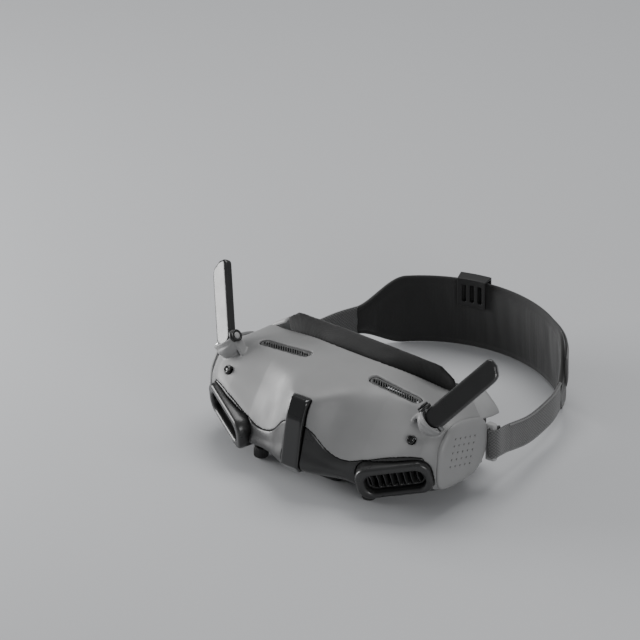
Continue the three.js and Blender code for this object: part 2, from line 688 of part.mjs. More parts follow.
function buttonHole(radius) {
  return rodAlong("x", radius, -90, -70, [BUTTON.y, BUTTON.z]);
}

// Everything that opens through the left side: the three sockets and the button's hole.
function sideOpenings() {
  return [...Object.values(SOCKETS).map((size) => socketHole(size, GAP)), buttonHole(BUTTON.radius + GAP)];
}

// ---------------------------------------------------------------- optics
function guideRods(grow, half) {
  return ROD_DEPTHS.map((y) => rodAlong("x", ROD_RADIUS + grow, -half, half, [y, ROD_Z], 14));
}

function eyeCarriage() {
  const plate = block(EYE_X - 11, EYE_X + 11, 7.5, 46, 14.7, 16.6);
  const tongue = block(KNOB_X - 3.2, KNOB_X + 3.2, KNOB_Y - 2.6, 9, 14.7, 16.6);
  const sleeves = ROD_DEPTHS.map((y) => block(EYE_X - 7, EYE_X + 7, y - 2.5, y + 2.5, 11.1, 15));
  const shaft = rodAlong("z", KNOB_SHAFT + GAP, 0, 30, [KNOB_X, KNOB_Y]);
  return cut(join(plate, tongue, ...sleeves), ...guideRods(GAP, 70), shaft);
}

function dioptreKnob() {
  const side = KNOB_RADIUS;
  const grip = [[0, 0.8], [side - 0.8, 0.8], [side, 1.6], [side, 6.8], [side - 0.9, 7.8]];
  const shaft = [[KNOB_SHAFT, 8.2], [KNOB_SHAFT, 17], [2.8, 17], [2.8, 18], [0, 18]];
  const profile = [...grip, ...shaft];
  const body = solidOf(new THREE.LatheGeometry(profile.map(([r, z]) => new THREE.Vector2(r, z)), 22));
  return moved(body.rotate([90, 0, 0]), KNOB_X, KNOB_Y, 0);
}

function lensBarrel() {
  const [front, back] = BARREL_DEPTH;
  const along = (radius, from, to) => rodAlong("y", radius, from, to, [EYE_X, EYE_Z], 24);
  const tube = cut(along(BARREL_RADIUS, front, back), along(BARREL_RADIUS - BARREL_WALL, 0, 60));
  const ledge = cut(along(BARREL_RADIUS - 1, back - 9, back - 7.5), along(BARREL_RADIUS - 3.6, 0, 60));
  return join(tube, ledge);
}

function eyepieceLens() {
  const radius = BARREL_RADIUS - BARREL_WALL - GAP;
  const [edge, crown] = [2.4, 2.6];
  const profile = [new THREE.Vector2(0, 0), new THREE.Vector2(radius, 0), new THREE.Vector2(radius, edge)];
  for (let i = 1; i <= 4; i += 1) {
    const t = i / 4;
    profile.push(new THREE.Vector2(radius * (1 - t), edge + crown * (1 - (1 - t) ** 2)));
  }
  return moved(solidOf(new THREE.LatheGeometry(profile, 26)), EYE_X, BARREL_DEPTH[1] - 7.2, EYE_Z);
}

function displayModule() {
  const box = block(EYE_X - 11, EYE_X + 11, 13, 20.5, EYE_Z - 12, EYE_Z + 12);
  const tube = rodAlong("y", 11.6, 20, 24.5, [EYE_X, EYE_Z]);
  const hollow = rodAlong("y", 9.8, 19, 33, [EYE_X, EYE_Z]);
  const foot = block(EYE_X - 9, EYE_X + 9, 14, 20, 16.9, EYE_Z - 11);
  return join(box, cut(tube, hollow), foot);
}

// ---------------------------------------------------------------- electronics
function mainBoard() {
  return extrudeZ(roundRect(96, 12, 3, 0, 33), 50.6, 52.2);
}

function heatSink() {
  const [fins, pitch, finHalf] = [9, 4, 0.6];
  let sink = block(-17, 17, 13, 26, 52.7, 54.2);
  for (let i = 0; i < fins; i += 1) {
    const x = (i - (fins - 1) / 2) * pitch;
    sink = sink.add(block(x - finHalf, x + finHalf, 13, 26, 54, 57.2));
  }
  return sink;
}

const FAN = { z: 33, radius: 10.6, post: 1.2 };

function fanHousing() {
  const { z, radius, post } = FAN;
  const body = extrudeY(roundRect(26, 24, 3, 0, z), 2, 10);
  const bore = rodAlong("y", radius, 0, 8.2, [0, z]);
  const hub = rodAlong("y", 4.2, 7, 12, [0, z]);
  const spokes = [block(-12, 12, 7, 12, z - 1, z + 1), block(-1, 1, 7, 12, z - 13, z + 13)];
  const outlet = cut(rodAlong("y", radius - 1.2, 8, 11, [0, z]), hub, ...spokes);
  return join(cut(body, bore, outlet), rodAlong("y", post, 4.6, 8.6, [0, z], 12));
}

function fanRotor() {
  const { z, post } = FAN;
  const blades = 7;
  let rotor = cut(rodAlong("y", 4, 2.4, 7.6, [0, z]), rodAlong("y", post + GAP, 4.2, 9, [0, z], 12));
  for (let i = 0; i < blades; i += 1) {
    const blade = block(-0.5, 0.5, -2.3, 2.3, 3.4, 9.9).rotate([0, 0, 28]);
    rotor = rotor.add(moved(blade.rotate([0, (i * 360) / blades, 0]), 0, 5, z));
  }
  return rotor;
}

function proximitySensor() {
  const back = rearDepth(0) + 3.9;
  return extrudeY(roundRect(11, 5, 2.4, 0, 40.5), back, back + 1.8);
}

const SCREW_HEAD = 2.1;
const SCREW_SHANK = 1.1;

function screw({ x, y, z }) {
  const head = rodAlong("z", SCREW_HEAD, z - 0.8, z + 0.7, [x, y]);
  const slot = block(x - 1.4, x + 1.4, y - 0.35, y + 0.35, z - 2, z);
  return join(cut(head, slot), rodAlong("z", SCREW_SHANK, z + 0.5, z + 6.4, [x, y], 12));
}

function screwPocket({ x, y, z }) {
  const counterbore = rodAlong("z", SCREW_HEAD + GAP, z - 8, z + 0.7 + GAP, [x, y]);
  return join(counterbore, rodAlong("z", SCREW_SHANK + GAP, z, z + 12, [x, y], 12));
}

// ---------------------------------------------------------------- housings
const both = (solid) => [solid, mirrored(solid)];

function shellHalf(side) {
  return common(cut(outerForm(), innerForm()), seamRegion(side));
}

function upperHousing() {
  const cradles = both(cut(antennaCradle(), innerForm()));
  const shell = join(shellHalf(1), ...cradles);
  const openings = [ventPocket(), windowSolid(GAP, -8, 8), topSlot(0.1, 40, 80)].flatMap(both);
  return cut(shell, ...openings, centreBar(GAP), ...sideOpenings());
}

// The lower housing stands on a flat keel and holds the ends of the guide rods.
function lowerHousing() {
  const keel = extrudeZ(roundRect(30, 24, 6, 0, 21), 0, 6.4, 0.8);
  const posts = ROD_DEPTHS.flatMap((y) => both(block(50, 53, y - 3, y + 3, 8.6, 15.6)));
  const bored = posts.map((post) => cut(post, ...guideRods(GAP, 70)));
  const shell = join(shellHalf(-1), cut(keel, innerForm()), ...bored);
  const play = KNOB_SHAFT + 0.6;
  const reach = EYE_TRAVEL + play;
  const knobSlot = block(KNOB_X - reach, KNOB_X + reach, KNOB_Y - play, KNOB_Y + play, 0, 14.2);
  const openings = [ventPocket(), knobSlot, ...SCREWS.map(screwPocket)].flatMap(both);
  return cut(shell, ...openings, centreBar(GAP), ...sideOpenings());
}

// ---------------------------------------------------------------- assembly
const root = new THREE.Group();

function add(name, solid, material) {
  const mesh = new THREE.Mesh(geometryOf(solid), MATERIALS[material]);
  mesh.name = name;
  root.add(mesh);
}

function addPair(name, solid, material) {
  add(`${name}_right`, solid, material);
  add(`${name}_left`, mirrored(solid), material);
}

add("upper_housing", upperHousing(), "shell");
add("lower_housing", lowerHousing(), "dark");
add("side_panel_right", sidePanel(), "shell");
add("side_panel_left", cut(mirrored(sidePanel()), ...sideOpenings()), "shell");
add("centre_bar", centreBar(0), "gloss");
addPair("vent_bezel", ventBezel(), "dark");
addPair("vent_grille", ventGrille(), "dark");
addPair("top_mesh", topMesh(), "mesh");
addPair("sensor_window", windowSolid(0, -1.8, 1.5), "gloss");
addPair("antenna", antennaPaddle(), "gloss");
addPair("hinge_pin", hingePin(), "metal");
addPair("hinge_cap", hingeCap(), "dark");
add("face_frame", faceFrame(), "dark");
add("face_mask", faceMask(), "foam");
add("forehead_pad", foreheadPad(), "foam");
addPair("side_wing", sideWing(), "light");
addPair("strap_bracket", strapBracket(), "light");
addPair("side_strap", sideStrap(), "woven");
add("rear_pad", rearPad(), "foam");
add("strap_tail", strapTail(), "woven");
add("strap_adjuster", strapAdjuster(), "dark");
addPair("eye_carriage", eyeCarriage(), "dark");
addPair("dioptre_knob", dioptreKnob(), "dark");
addPair("lens_barrel", lensBarrel(), "dark");
addPair("eyepiece_lens", eyepieceLens(), "glass");
addPair("display_module", displayModule(), "dark");
guideRods(0, 52).forEach((rod, i) => add(["guide_rod_front", "guide_rod_rear"][i], rod, "metal"));
add("main_board", mainBoard(), "board");
add("heat_sink", heatSink(), "metal");
add("fan_housing", fanHousing(), "dark");
add("fan_rotor", fanRotor(), "dark");
add("proximity_sensor", proximitySensor(), "gloss");
add("power_inlet", powerInlet(), "metal");
add("card_slot", socket(SOCKETS.card, 0.6, 7), "metal");
add("audio_jack", socket(SOCKETS.audio, 1, 8), "dark");
add("link_button", linkButton(), "dark");
SCREWS.forEach((place, i) => {
  add(`housing_screw_right_${i + 1}`, screw(place), "metal");
  add(`housing_screw_left_${i + 1}`, mirrored(screw(place)), "metal");
});

root.position.set(0, -DEPTH_ORIGIN, 0);
export default root;
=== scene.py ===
"""FPV goggles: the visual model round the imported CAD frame.

The object's own millimetres are used throughout: X across the face, Y from the front vents
towards the wearer, Z up. row() turns them into the row frame's metres.
"""
import math

import bmesh
import bpy
import numpy as np
from mathutils import Matrix, Vector


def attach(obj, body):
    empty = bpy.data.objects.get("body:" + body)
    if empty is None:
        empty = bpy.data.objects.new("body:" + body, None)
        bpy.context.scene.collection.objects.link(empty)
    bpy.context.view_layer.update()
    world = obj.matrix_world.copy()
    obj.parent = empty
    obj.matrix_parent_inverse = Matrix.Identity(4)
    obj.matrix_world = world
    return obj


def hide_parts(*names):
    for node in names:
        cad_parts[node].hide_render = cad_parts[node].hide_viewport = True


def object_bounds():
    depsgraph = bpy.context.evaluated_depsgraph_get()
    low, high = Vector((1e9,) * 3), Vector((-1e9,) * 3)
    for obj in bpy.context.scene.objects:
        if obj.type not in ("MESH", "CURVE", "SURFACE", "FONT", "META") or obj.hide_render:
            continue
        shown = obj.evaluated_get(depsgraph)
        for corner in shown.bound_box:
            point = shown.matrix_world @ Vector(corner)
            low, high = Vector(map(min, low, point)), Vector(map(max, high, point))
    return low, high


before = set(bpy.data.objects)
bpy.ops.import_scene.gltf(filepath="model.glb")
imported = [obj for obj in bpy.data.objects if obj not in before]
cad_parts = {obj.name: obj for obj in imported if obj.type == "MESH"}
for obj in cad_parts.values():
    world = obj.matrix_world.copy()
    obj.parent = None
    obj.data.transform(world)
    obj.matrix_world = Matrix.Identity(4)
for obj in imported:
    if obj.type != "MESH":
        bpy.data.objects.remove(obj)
CAD_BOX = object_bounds()


# ---------------------------------------------------------------- driving dimensions
MM = 0.001
DEPTH_ORIGIN = 84.55
GAP = 0.3
WALL = 2.2
HALF_WIDTH = 80
PANEL_THICK = 3
EYE_X = 32
EYE_Z = 32
EYE_TRAVEL = 4
BARREL_RADIUS = 15
BARREL_DEPTH = (27, 47)
ROD_DEPTHS = (19, 41)
ROD_Z = 13
ROD_RADIUS = 1.25
KNOB_X = 38.5
KNOB_Y = 6
KNOB_RADIUS = 4.3
VENT_CENTRE = (58.8, 2.7, 21.8)
VENT_SIZE = (44, 21)
VENT_TURN, VENT_RISE, VENT_NOD = 28, 13, 10
VENT_OPENING = {"width": 34.5, "height": 12.5, "radius": 5.2, "cx": 0.5, "cy": -0.8}
SLOT_X, SLOT_Y, SLOT_LENGTH, SLOT_WIDTH = 39, 29.5, 36, 7
WINDOW = (65, 10, 45.5)
WINDOW_RADIUS = 2.3
ANTENNA_PIVOT = (73.5, 19, 57.5)
ANTENNA_AXIS = (0.787, 0, -0.617)
ANTENNA_REACH = 47.5
ANTENNA_WIDTH = 12.6
ANTENNA_THICK = 5.6
ANTENNA_LIFT = 56
PIN_RADIUS = 1.5
HEEL_CENTRE = 2.2
KNUCKLE_INNER, KNUCKLE_BLADE, KNUCKLE_OUTER, KNUCKLE_END = -8.8, -6.8, 6.8, 8.2
STRAP_RADIUS = 80
STRAP_CENTRE_Y = 104
STRAP_THICK = 1.8
PAD_THICK = 4
PAD_ENDS = (24, 156)
PAD_HEIGHT = 44
STRAP_HEIGHTS = (10, 28)
BRACKET_Y = 61
ADJUSTER_ANGLES = (99, 112)
SCREWS = ((20, 34, 5), (60, 42, 9.7))
SOCKET_Z = 24
BUTTON_Y, BUTTON_Z, BUTTON_RADIUS = 34, 36, 3


def row(points):
    """Millimetres in the object's own frame as metres in the row frame."""
    return (np.asarray(points, float) - (0, DEPTH_ORIGIN, 0)) * MM


# ---------------------------------------------------------------- camera, lights and floor
VIEW_TURN = math.radians(38)       # the camera stands this far round towards +X
VIEW_RISE = math.radians(29)
VIEW_DISTANCE = 6.0
VIEW_LENS = 593
VIEW_MIDDLE = row((-66, 95, 40))   # what the middle of the picture shows
LAMP_AIM = row((0, 20, 35))        # the middle of the housing


def toward(turn, rise):
    """The unit direction from the object to a viewer or lamp at this turn and rise."""
    flat = math.cos(rise)
    return Vector((math.sin(turn) * flat, -math.cos(turn) * flat, math.sin(rise)))


def add_camera():
    camera = bpy.data.objects.new("camera", bpy.data.cameras.new("camera"))
    direction = toward(VIEW_TURN, VIEW_RISE)
    camera.location = Vector(VIEW_MIDDLE) + direction * VIEW_DISTANCE
    camera.rotation_euler = direction.to_track_quat("Z", "Y").to_euler()
    camera.data.lens = VIEW_LENS
    camera.data.clip_start = 0.01
    camera.data.clip_end = 50
    bpy.context.collection.objects.link(camera)
    bpy.context.scene.camera = camera


def add_softbox(name, direction, distance, size, power):
    """A rectangular soft lamp that faces the middle of the housing."""
    lamp = bpy.data.objects.new(name, bpy.data.lights.new(name, "AREA"))
    lamp.data.shape = "RECTANGLE"
    lamp.data.size, lamp.data.size_y = size
    lamp.data.energy = power
    direction = Vector(direction).normalized()
    lamp.location = Vector(LAMP_AIM) + direction * distance
    lamp.rotation_euler = direction.to_track_quat("Z", "Y").to_euler()
    bpy.context.collection.objects.link(lamp)


def add_studio():
    add_softbox("left_softbox", (-0.93, -0.34, 0.16), 0.75, (0.5, 0.42), 7.5)
    add_softbox("right_softbox", (0.92, -0.34, 0.32), 0.9, (0.32, 0.3), 2.4)
    add_softbox("top_softbox", (-0.12, 0.42, 0.9), 1.1, (0.9, 0.6), 7.0)
    world = bpy.data.worlds.new("studio")
    world.use_nodes = True
    background = world.node_tree.nodes["Background"]
    background.inputs["Color"].default_value = (0.86, 0.88, 0.9, 1)
    background.inputs["Strength"].default_value = 0.3
    bpy.context.scene.world = world


# ---------------------------------------------------------------- materials
def linear(shade):
    """An 8-bit display colour, one grey level or three channels, as linear light."""
    channels = (shade,) * 3 if isinstance(shade, (int, float)) else shade
    return tuple((c / 255 / 12.92) if c <= 10 else ((c / 255 + 0.055) / 1.055) ** 2.4 for c in channels)


class Finish:
    """A procedural material on one Principled shader."""

    def __init__(self, name, shade, roughness, **sockets):
        self.material = bpy.data.materials.new(name)
        self.material.use_nodes = True
        self.tree = self.material.node_tree
        self.shader = self.tree.nodes["Principled BSDF"]
        self.shade = linear(shade)
        self.set("Base Color", (*self.shade, 1))
        self.set("Roughness", roughness)
        for socket, value in sockets.items():
            self.set(socket.replace("_", " "), value)
        self.place = self.node("ShaderNodeTexCoord").node.outputs["Object"]

    def feed(self, entry, value):
        """Links an output to this input, or gives the input a plain value."""
        if isinstance(value, bpy.types.NodeSocket):
            self.tree.links.new(value, entry)
        else:
            entry.default_value = value

    def set(self, socket, value):
        self.feed(self.shader.inputs[socket], value)

    def node(self, kind, inputs=None, output=0, **settings):
        node = self.tree.nodes.new(kind)
        for key, value in settings.items():
            setattr(node, key, value)
        for key, value in (inputs or {}).items():
            self.feed(node.inputs[key], value)
        return node.outputs[output]

    def math(self, operation, first, second=0.0):
        return self.node("ShaderNodeMath", {0: first, 1: second}, operation=operation)

    def noise(self, size, detail=2.0, place=None):
        """Soft noise from 0 to 1 whose patches are about this many millimetres across."""
        inputs = {"Vector": place or self.place, "Scale": 1 / (size * MM), "Detail": detail}
        return self.node("ShaderNodeTexNoise", inputs)

    def spread(self, value, low, high, start=0.0, end=1.0):
        """Maps start..end of a value to low..high, held beyond both."""
        inputs = {"Value": value, "From Min": start, "From Max": end, "To Min": low, "To Max": high}
        return self.node("ShaderNodeMapRange", inputs)

    def tint(self, amount, shade, strength=None):
        """Mixes the base colour towards another shade as amount, times strength, goes from 0 to 1."""
        if strength:
            amount = self.math("MULTIPLY", amount, strength)
        socket = self.shader.inputs["Base Color"]
        before = socket.links[0].from_socket if socket.links else (*self.shade, 1)
        mix = self.tree.nodes.new("ShaderNodeMix")
        mix.data_type = "RGBA"
        for index, value in ((0, amount), (6, before), (7, (*linear(shade), 1))):
            self.feed(mix.inputs[index], value)
        self.set("Base Color", mix.outputs[2])

    def bump(self, height, depth):
        """Raises the surface by up to this many millimetres where height is 1."""
        socket = self.shader.inputs["Normal"]
        inputs = {"Height": height, "Distance": depth * MM, "Strength": 1.0}
        if socket.links:
            inputs["Normal"] = socket.links[0].from_socket
        self.set("Normal", self.node("ShaderNodeBump", inputs))

    def edges(self, start=0.53, end=0.62):
        """1 on convex edges and 0 elsewhere, from the shape itself."""
        pointiness = self.node("ShaderNodeNewGeometry", output=7)
        return self.spread(pointiness, 0.0, 1.0, start, end)


MOTTLE = 9                         # how many grey levels darker a moulded part's cloudy patches are
GLOSS_WEAR_AND_HIGHLIGHT = 30                    # how many grey levels paler a glossy part's edges are painted: partly rubbed wear, partly painted highlight
BRUSH_STRETCH = (1, 14, 14)        # fine lines across X


def moulded(name, shade, roughness, grain=0.45, depth=0.012, wear_and_highlight=14, **sockets):
    """Moulded plastic: fine texture, faint cloudiness, uneven gloss, and paler edges that are partly rubbed
    wear and partly painted highlight.
    """
    finish = Finish(name, shade, roughness, **sockets)
    cloud = finish.spread(finish.noise(24, 3), 0, 1, 0.35, 0.65)
    finish.tint(cloud, shade - MOTTLE, 0.5)
    # convex edges painted paler: partly rubbed wear, partly painted highlight
    rub_and_highlight = finish.math("MULTIPLY", finish.edges(), finish.spread(finish.noise(5, 3), 0, 1, 0.4, 0.7))
    finish.tint(rub_and_highlight, shade + wear_and_highlight, 0.55)
    patch = finish.spread(finish.noise(9, 4), roughness - 0.05, roughness + 0.07, 0.3, 0.7)
    finish.set("Roughness", patch)
    finish.bump(finish.noise(grain, 2), depth)
    return finish.material


def polished(name, shade, roughness, **sockets):
    """Glossy plastic with faint smears and dust-fine unevenness."""
    finish = Finish(name, shade, roughness, **sockets)
    smear = finish.noise(14, 5)
    finish.set("Roughness", finish.spread(smear, roughness * 0.8, roughness * 1.7, 0.35, 0.75))
    # edges painted paler: partly rubbed wear, partly painted highlight
    finish.tint(finish.edges(0.55, 0.7), shade + GLOSS_WEAR_AND_HIGHLIGHT, 0.35)
    finish.bump(finish.noise(2.5, 2), 0.004)
    return finish.material


def brushed(name, shade, roughness):
    """Turned or brushed metal with fine lines across one direction."""
    finish = Finish(name, shade, roughness, Metallic=1.0)
    mapping = finish.node("ShaderNodeMapping", {"Vector": finish.place, "Scale": BRUSH_STRETCH})
    lines = finish.noise(1.2, 3, mapping)
    finish.set("Roughness", finish.spread(lines, roughness - 0.06, roughness + 0.14, 0.3, 0.7))
    finish.tint(finish.noise(6, 3), shade - 30, 0.4)
    finish.bump(lines, 0.01)
    return finish.material


def foam(name, shade, cell):
    """Open-cell foam: small pits between soft walls, with painted shade in the pits."""
    finish = Finish(name, shade, 0.95, Sheen_Weight=0.25, Sheen_Roughness=0.6)
    cells = finish.node("ShaderNodeTexVoronoi", {"Vector": finish.place, "Scale": 1 / (cell * MM)})
    pits = finish.spread(cells, 1, 0, 0.1, 0.55)
    # painted shade in the pits
    finish.tint(pits, max(shade - 14, 2), 0.5)
    finish.tint(finish.noise(11, 3), shade + 10, 0.3)
    finish.bump(finish.math("SUBTRACT", 1.0, pits), 0.22)
    return finish.material


def jersey(name, shade, stitch):
    """Smooth knitted cover: tiny stitches in rows with a painted highlight on each stitch's crown, a soft
    sheen and slight fading.
    """
    finish = Finish(name, shade, 0.82, Sheen_Weight=0.35, Sheen_Roughness=0.45)
    mapping = finish.node("ShaderNodeMapping", {"Vector": finish.place, "Scale": (1, 1, 1.7)})
    inputs = {"Vector": mapping, "Scale": 1 / (stitch * MM), "Randomness": 0.35}
    stitches = finish.spread(finish.node("ShaderNodeTexVoronoi", inputs), 1, 0, 0.0, 0.7)
    # painted highlight on the raised crown of each stitch
    finish.tint(stitches, shade + 12, 0.35)
    finish.tint(finish.noise(30, 3), max(shade - 8, 2), 0.35)
    finish.bump(stitches, 0.09)
    finish.bump(finish.noise(7, 3), 0.12)
    return finish.material


def webbing(name, shade, thread):
    """Woven strap, with painted highlight on its raised threads and painted shade in the weave's hollows. The
    mesh's weave layer holds millimetres along and across the strap.
    """
    finish = Finish(name, shade, 0.88, Sheen_Weight=0.3, Sheen_Roughness=0.5)
    uv = finish.node("ShaderNodeUVMap", uv_map="weave")
    split = finish.tree.nodes.new("ShaderNodeSeparateXYZ")
    finish.tree.links.new(uv, split.inputs[0])
    turns = math.tau / (2 * thread)
    waves = [finish.math("SINE", finish.math("MULTIPLY", split.outputs[i], turns)) for i in (0, 1)]
    over = finish.math("MULTIPLY", waves[0], waves[1])
    strands = finish.math("ABSOLUTE", finish.math("SINE", finish.math("MULTIPLY", split.outputs[0], turns)))
    height = finish.math("ADD", finish.math("MULTIPLY", over, 0.5), finish.math("MULTIPLY", strands, 0.35))
    lit = finish.spread(height, 0, 1, -0.4, 0.7)
    fuzz = finish.noise(0.5, 3)
    # painted highlight on the raised threads
    finish.tint(lit, shade + 46, 0.95)
    # painted shade where the weave dips
    finish.tint(finish.spread(height, 1, 0, -0.5, -0.1), shade - 34, 0.8)
    finish.tint(finish.spread(fuzz, 0, 1, 0.45, 0.75), shade + 50, 0.3)
    finish.tint(finish.noise(16, 2), max(shade - 16, 2), 0.35)
    finish.bump(lit, 0.3)
    finish.bump(fuzz, 0.06)
    return finish.material


def clear_glass(name):
    finish = Finish(name, (225, 232, 238), 0.03, Transmission_Weight=0.92, IOR=1.5, Coat_Weight=0.3)
    finish.set("Roughness", finish.spread(finish.noise(8, 4), 0.015, 0.06, 0.4, 0.75))
    return finish.material


def circuit(name):
    """Lacquered board with tracks and pads under the lacquer."""
    finish = Finish(name, (26, 70, 48), 0.4, Coat_Weight=0.4)
    cells = {"Vector": finish.place, "Scale": 1 / (2.6 * MM), "Randomness": 0.4}
    tracks = finish.node("ShaderNodeTexVoronoi", cells, distance="MANHATTAN")
    finish.tint(finish.spread(tracks, 0, 0.7, 0.25, 0.32), (60, 118, 84))
    finish.bump(finish.spread(tracks, 0, 1, 0.25, 0.32), 0.05)
    return finish.material


def floor_finish(name):
    finish = Finish(name, (196, 197, 199), 0.55)
    finish.tint(finish.noise(160, 2), (188, 189, 191), 0.25)
    finish.bump(finish.noise(3, 2), 0.02)
    return finish.material


SHELL = moulded("matte_grey_shell", 136, 0.46)
CHARCOAL = moulded("charcoal_satin", 40, 0.3, depth=0.008, wear_and_highlight=34, Coat_Weight=0.25, Coat_Roughness=0.3)
BLACK_PLASTIC = moulded("black_plastic", 30, 0.42, wear_and_highlight=24)
PIANO_BLACK = polished("piano_black", 14, 0.09, Coat_Weight=0.6, Coat_Roughness=0.05)
ANTENNA_BLACK = moulded("antenna_satin", 30, 0.3, 0.35, 0.006, 26, Coat_Weight=0.5, Coat_Roughness=0.22)
LIGHT_PLASTIC = moulded("light_grey_trim", 158, 0.42)
MESH_METAL = moulded("mesh_strip", 86, 0.45, grain=0.3, Metallic=0.3)
FOAM = foam("face_foam", 26, 1.1)
PAD_FABRIC = jersey("pad_cover", 24, 0.75)
CLIP_BLACK = moulded("clip_black", 22, 0.5, wear_and_highlight=30)
WEBBING = webbing("woven_strap", 58, 0.95)
WEBBING_EDGE = jersey("strap_binding", 112, 0.6)
STEEL = brushed("steel", 176, 0.26)
ALUMINIUM = brushed("aluminium", 188, 0.34)
GLASS = clear_glass("lens_glass")
BOARD = circuit("lacquered_board")
SCREEN = polished("dark_screen", 12, 0.07, Coat_Weight=1.0)


# ---------------------------------------------------------------- outlines
def arc(cx, cy, radius, start, end, steps):
    """Points on an arc; the angles are degrees."""
    turns = np.radians(np.linspace(start, end, steps + 1))
    return np.stack([cx + radius * np.cos(turns), cy + radius * np.sin(turns)], axis=1)


def circle(cx, cy, radius, sides):
    return arc(cx, cy, radius, 0, 360 - 360 / sides, sides - 1)


def round_rect(width, height, radius, cx=0, cy=0, steps=8):
    w, h = width / 2 - radius, height / 2 - radius
    corners = ((w, h, 0), (-w, h, 90), (-w, -h, 180), (w, -h, 270))
    return np.concatenate([arc(cx + x, cy + y, radius, a, a + 90, steps) for x, y, a in corners])


def unit(vectors):
    return vectors / np.maximum(np.linalg.norm(vectors, axis=-1, keepdims=True), 1e-9)


def grown(points, distance):
    """A closed outline moved outwards by a distance, or inwards where it is negative."""
    points = np.asarray(points, float)
    into = unit(points - np.roll(points, 1, axis=0))
    out = unit(np.roll(points, -1, axis=0) - points)
    x, y = points.T
    side = np.sign(np.sum(x * np.roll(y, -1) - np.roll(x, -1) * y))
    normal = unit(np.stack([into[:, 1] + out[:, 1], -into[:, 0] - out[:, 0]], axis=1))
    reach = np.maximum(np.sum(normal * np.stack([into[:, 1], -into[:, 0]], axis=1), axis=1), 0.3)
    return points + side * distance * normal / reach[:, None]


def spline(a, b, c, d, t):
    """The smooth curve from b to c, with a before and d after."""
    return 0.5 * (2 * b + (c - a) * t + (2 * a - 5 * b + 4 * c - d) * t * t + (3 * b - a - 3 * c + d) * t**3)


def smooth_line(points, steps, closed=False):
    """A smooth curve through points, with this many steps between each two."""
    points = np.asarray(points, float)
    count = len(points)
    pick = (lambda n: points[n % count]) if closed else (lambda n: points[min(max(n, 0), count - 1)])
    fine = []
    for i in range(count if closed else count - 1):
        near = [pick(i + n) for n in (-1, 0, 1, 2)]
        fine.extend(spline(*near, s / steps) for s in range(steps))
    if not closed:
        fine.append(points[-1])
    return np.array(fine)


def smoothstep(value, low, high):
    t = np.clip((value - low) / (high - low), 0, 1)
    return t * t * (3 - 2 * t)


def mix(a, b, t):
    return a + (b - a) * t


# ---------------------------------------------------------------- solids
def as_solid(name, points, faces):
    """A mesh object from millimetre points, with its faces turned outwards."""
    mesh = bpy.data.meshes.new(name)
    mesh.from_pydata(row(points).tolist(), [], faces)
    tidy = bmesh.new()
    tidy.from_mesh(mesh)
    bmesh.ops.recalc_face_normals(tidy, faces=tidy.faces)
    tidy.to_mesh(mesh)
    tidy.free()
    obj = bpy.data.objects.new(name, mesh)
    bpy.context.collection.objects.link(obj)
    return obj


def loft(name, rings, closed=False):
    """A solid through rings of points; closed joins the last ring to the first."""
    rings = np.asarray(rings, float)
    rows, count = rings.shape[:2]
    faces = []
    for r in range(rows if closed else rows - 1):
        after = (r + 1) % rows
        for i in range(count):
            j = (i + 1) % count
            faces.append((r * count + i, r * count + j, after * count + j, after * count + i))
    if not closed:
        faces.append(tuple(range(count)))
        faces.append(tuple(range((rows - 1) * count, rows * count)))
    return as_solid(name, rings.reshape(-1, 3), faces)


def lifted(axis, outline, depth):
    """A flat outline set across an axis: (y, z) on x, (x, z) on y and (x, y) on z."""
    a, b = np.asarray(outline, float).T
    level = np.full(len(a), float(depth))
    return np.stack({"x": (level, a, b), "y": (a, level, b), "z": (a, b, level)}[axis], axis=1)


def slab(name, axis, outline, start, end, edge=0.0, place=None):
    """A plate of an outline between two depths. edge is the radius that rounds its two rims."""
    turns = np.radians(np.linspace(0, 90, 6)) if edge else np.array([math.pi / 2])
    insets = edge * (1 - np.sin(turns))
    depths = edge * (1 - np.cos(turns))
    if edge:
        insets, depths = np.append(1.25 * edge, insets), np.append(0, depths)
    rings = [lifted(axis, grown(outline, -inset), start + d) for inset, d in zip(insets, depths)]
    rings += [lifted(axis, grown(outline, -inset), end - d) for inset, d in zip(insets[::-1], depths[::-1])]
    rings = np.array(rings)
    return loft(name, rings if place is None else place(rings))


def box(name, x0, x1, y0, y1, z0, z1, place=None):
    corners = [(x0, y0), (x1, y0), (x1, y1), (x0, y1)]
    return slab(name, "z", corners, z0, z1, place=place)


def rod(name, axis, radius, start, end, at=(0, 0), sides=48, place=None):
    return slab(name, axis, circle(*at, radius, sides), start, end, place=place)


def turned(name, axis, profile, at=(0, 0), sides=64, place=None):
    """A solid of revolution. The profile is (radius, depth) and closes on itself or on the axis."""
    circles = [(circle(*at, max(radius, 0.01), sides), depth) for radius, depth in profile]
    rings = np.array([lifted(axis, outline, depth) for outline, depth in circles])
    closed = profile[0][0] > 0.01 and profile[-1][0] > 0.01
    return loft(name, rings if place is None else place(rings), closed)


def settle(obj):
    """Turns an object's modifiers into its own mesh."""
    graph = bpy.context.evaluated_depsgraph_get()
    mesh = bpy.data.meshes.new_from_object(obj.evaluated_get(graph))
    obj.modifiers.clear()
    before = obj.data
    obj.data = mesh
    bpy.data.meshes.remove(before)
    return obj


def combine(operation, obj, others):
    for other in others:
        modifier = obj.modifiers.new(operation, "BOOLEAN")
        modifier.operation = operation
        modifier.solver = "MANIFOLD"
        modifier.object = other
    settle(obj)
    for other in others:
        bpy.data.objects.remove(other)
    return obj


def cut(obj, *others):
    return combine("DIFFERENCE", obj, others)


def join(obj, *others):
    return combine("UNION", obj, others)


def common(obj, *others):
    return combine("INTERSECT", obj, others)


def smoothed(obj, rounds, group=""):
    smooth = obj.modifiers.new("smooth", "SMOOTH")
    smooth.factor = 0.5
    smooth.iterations = rounds
    smooth.vertex_group = group
    return settle(obj)


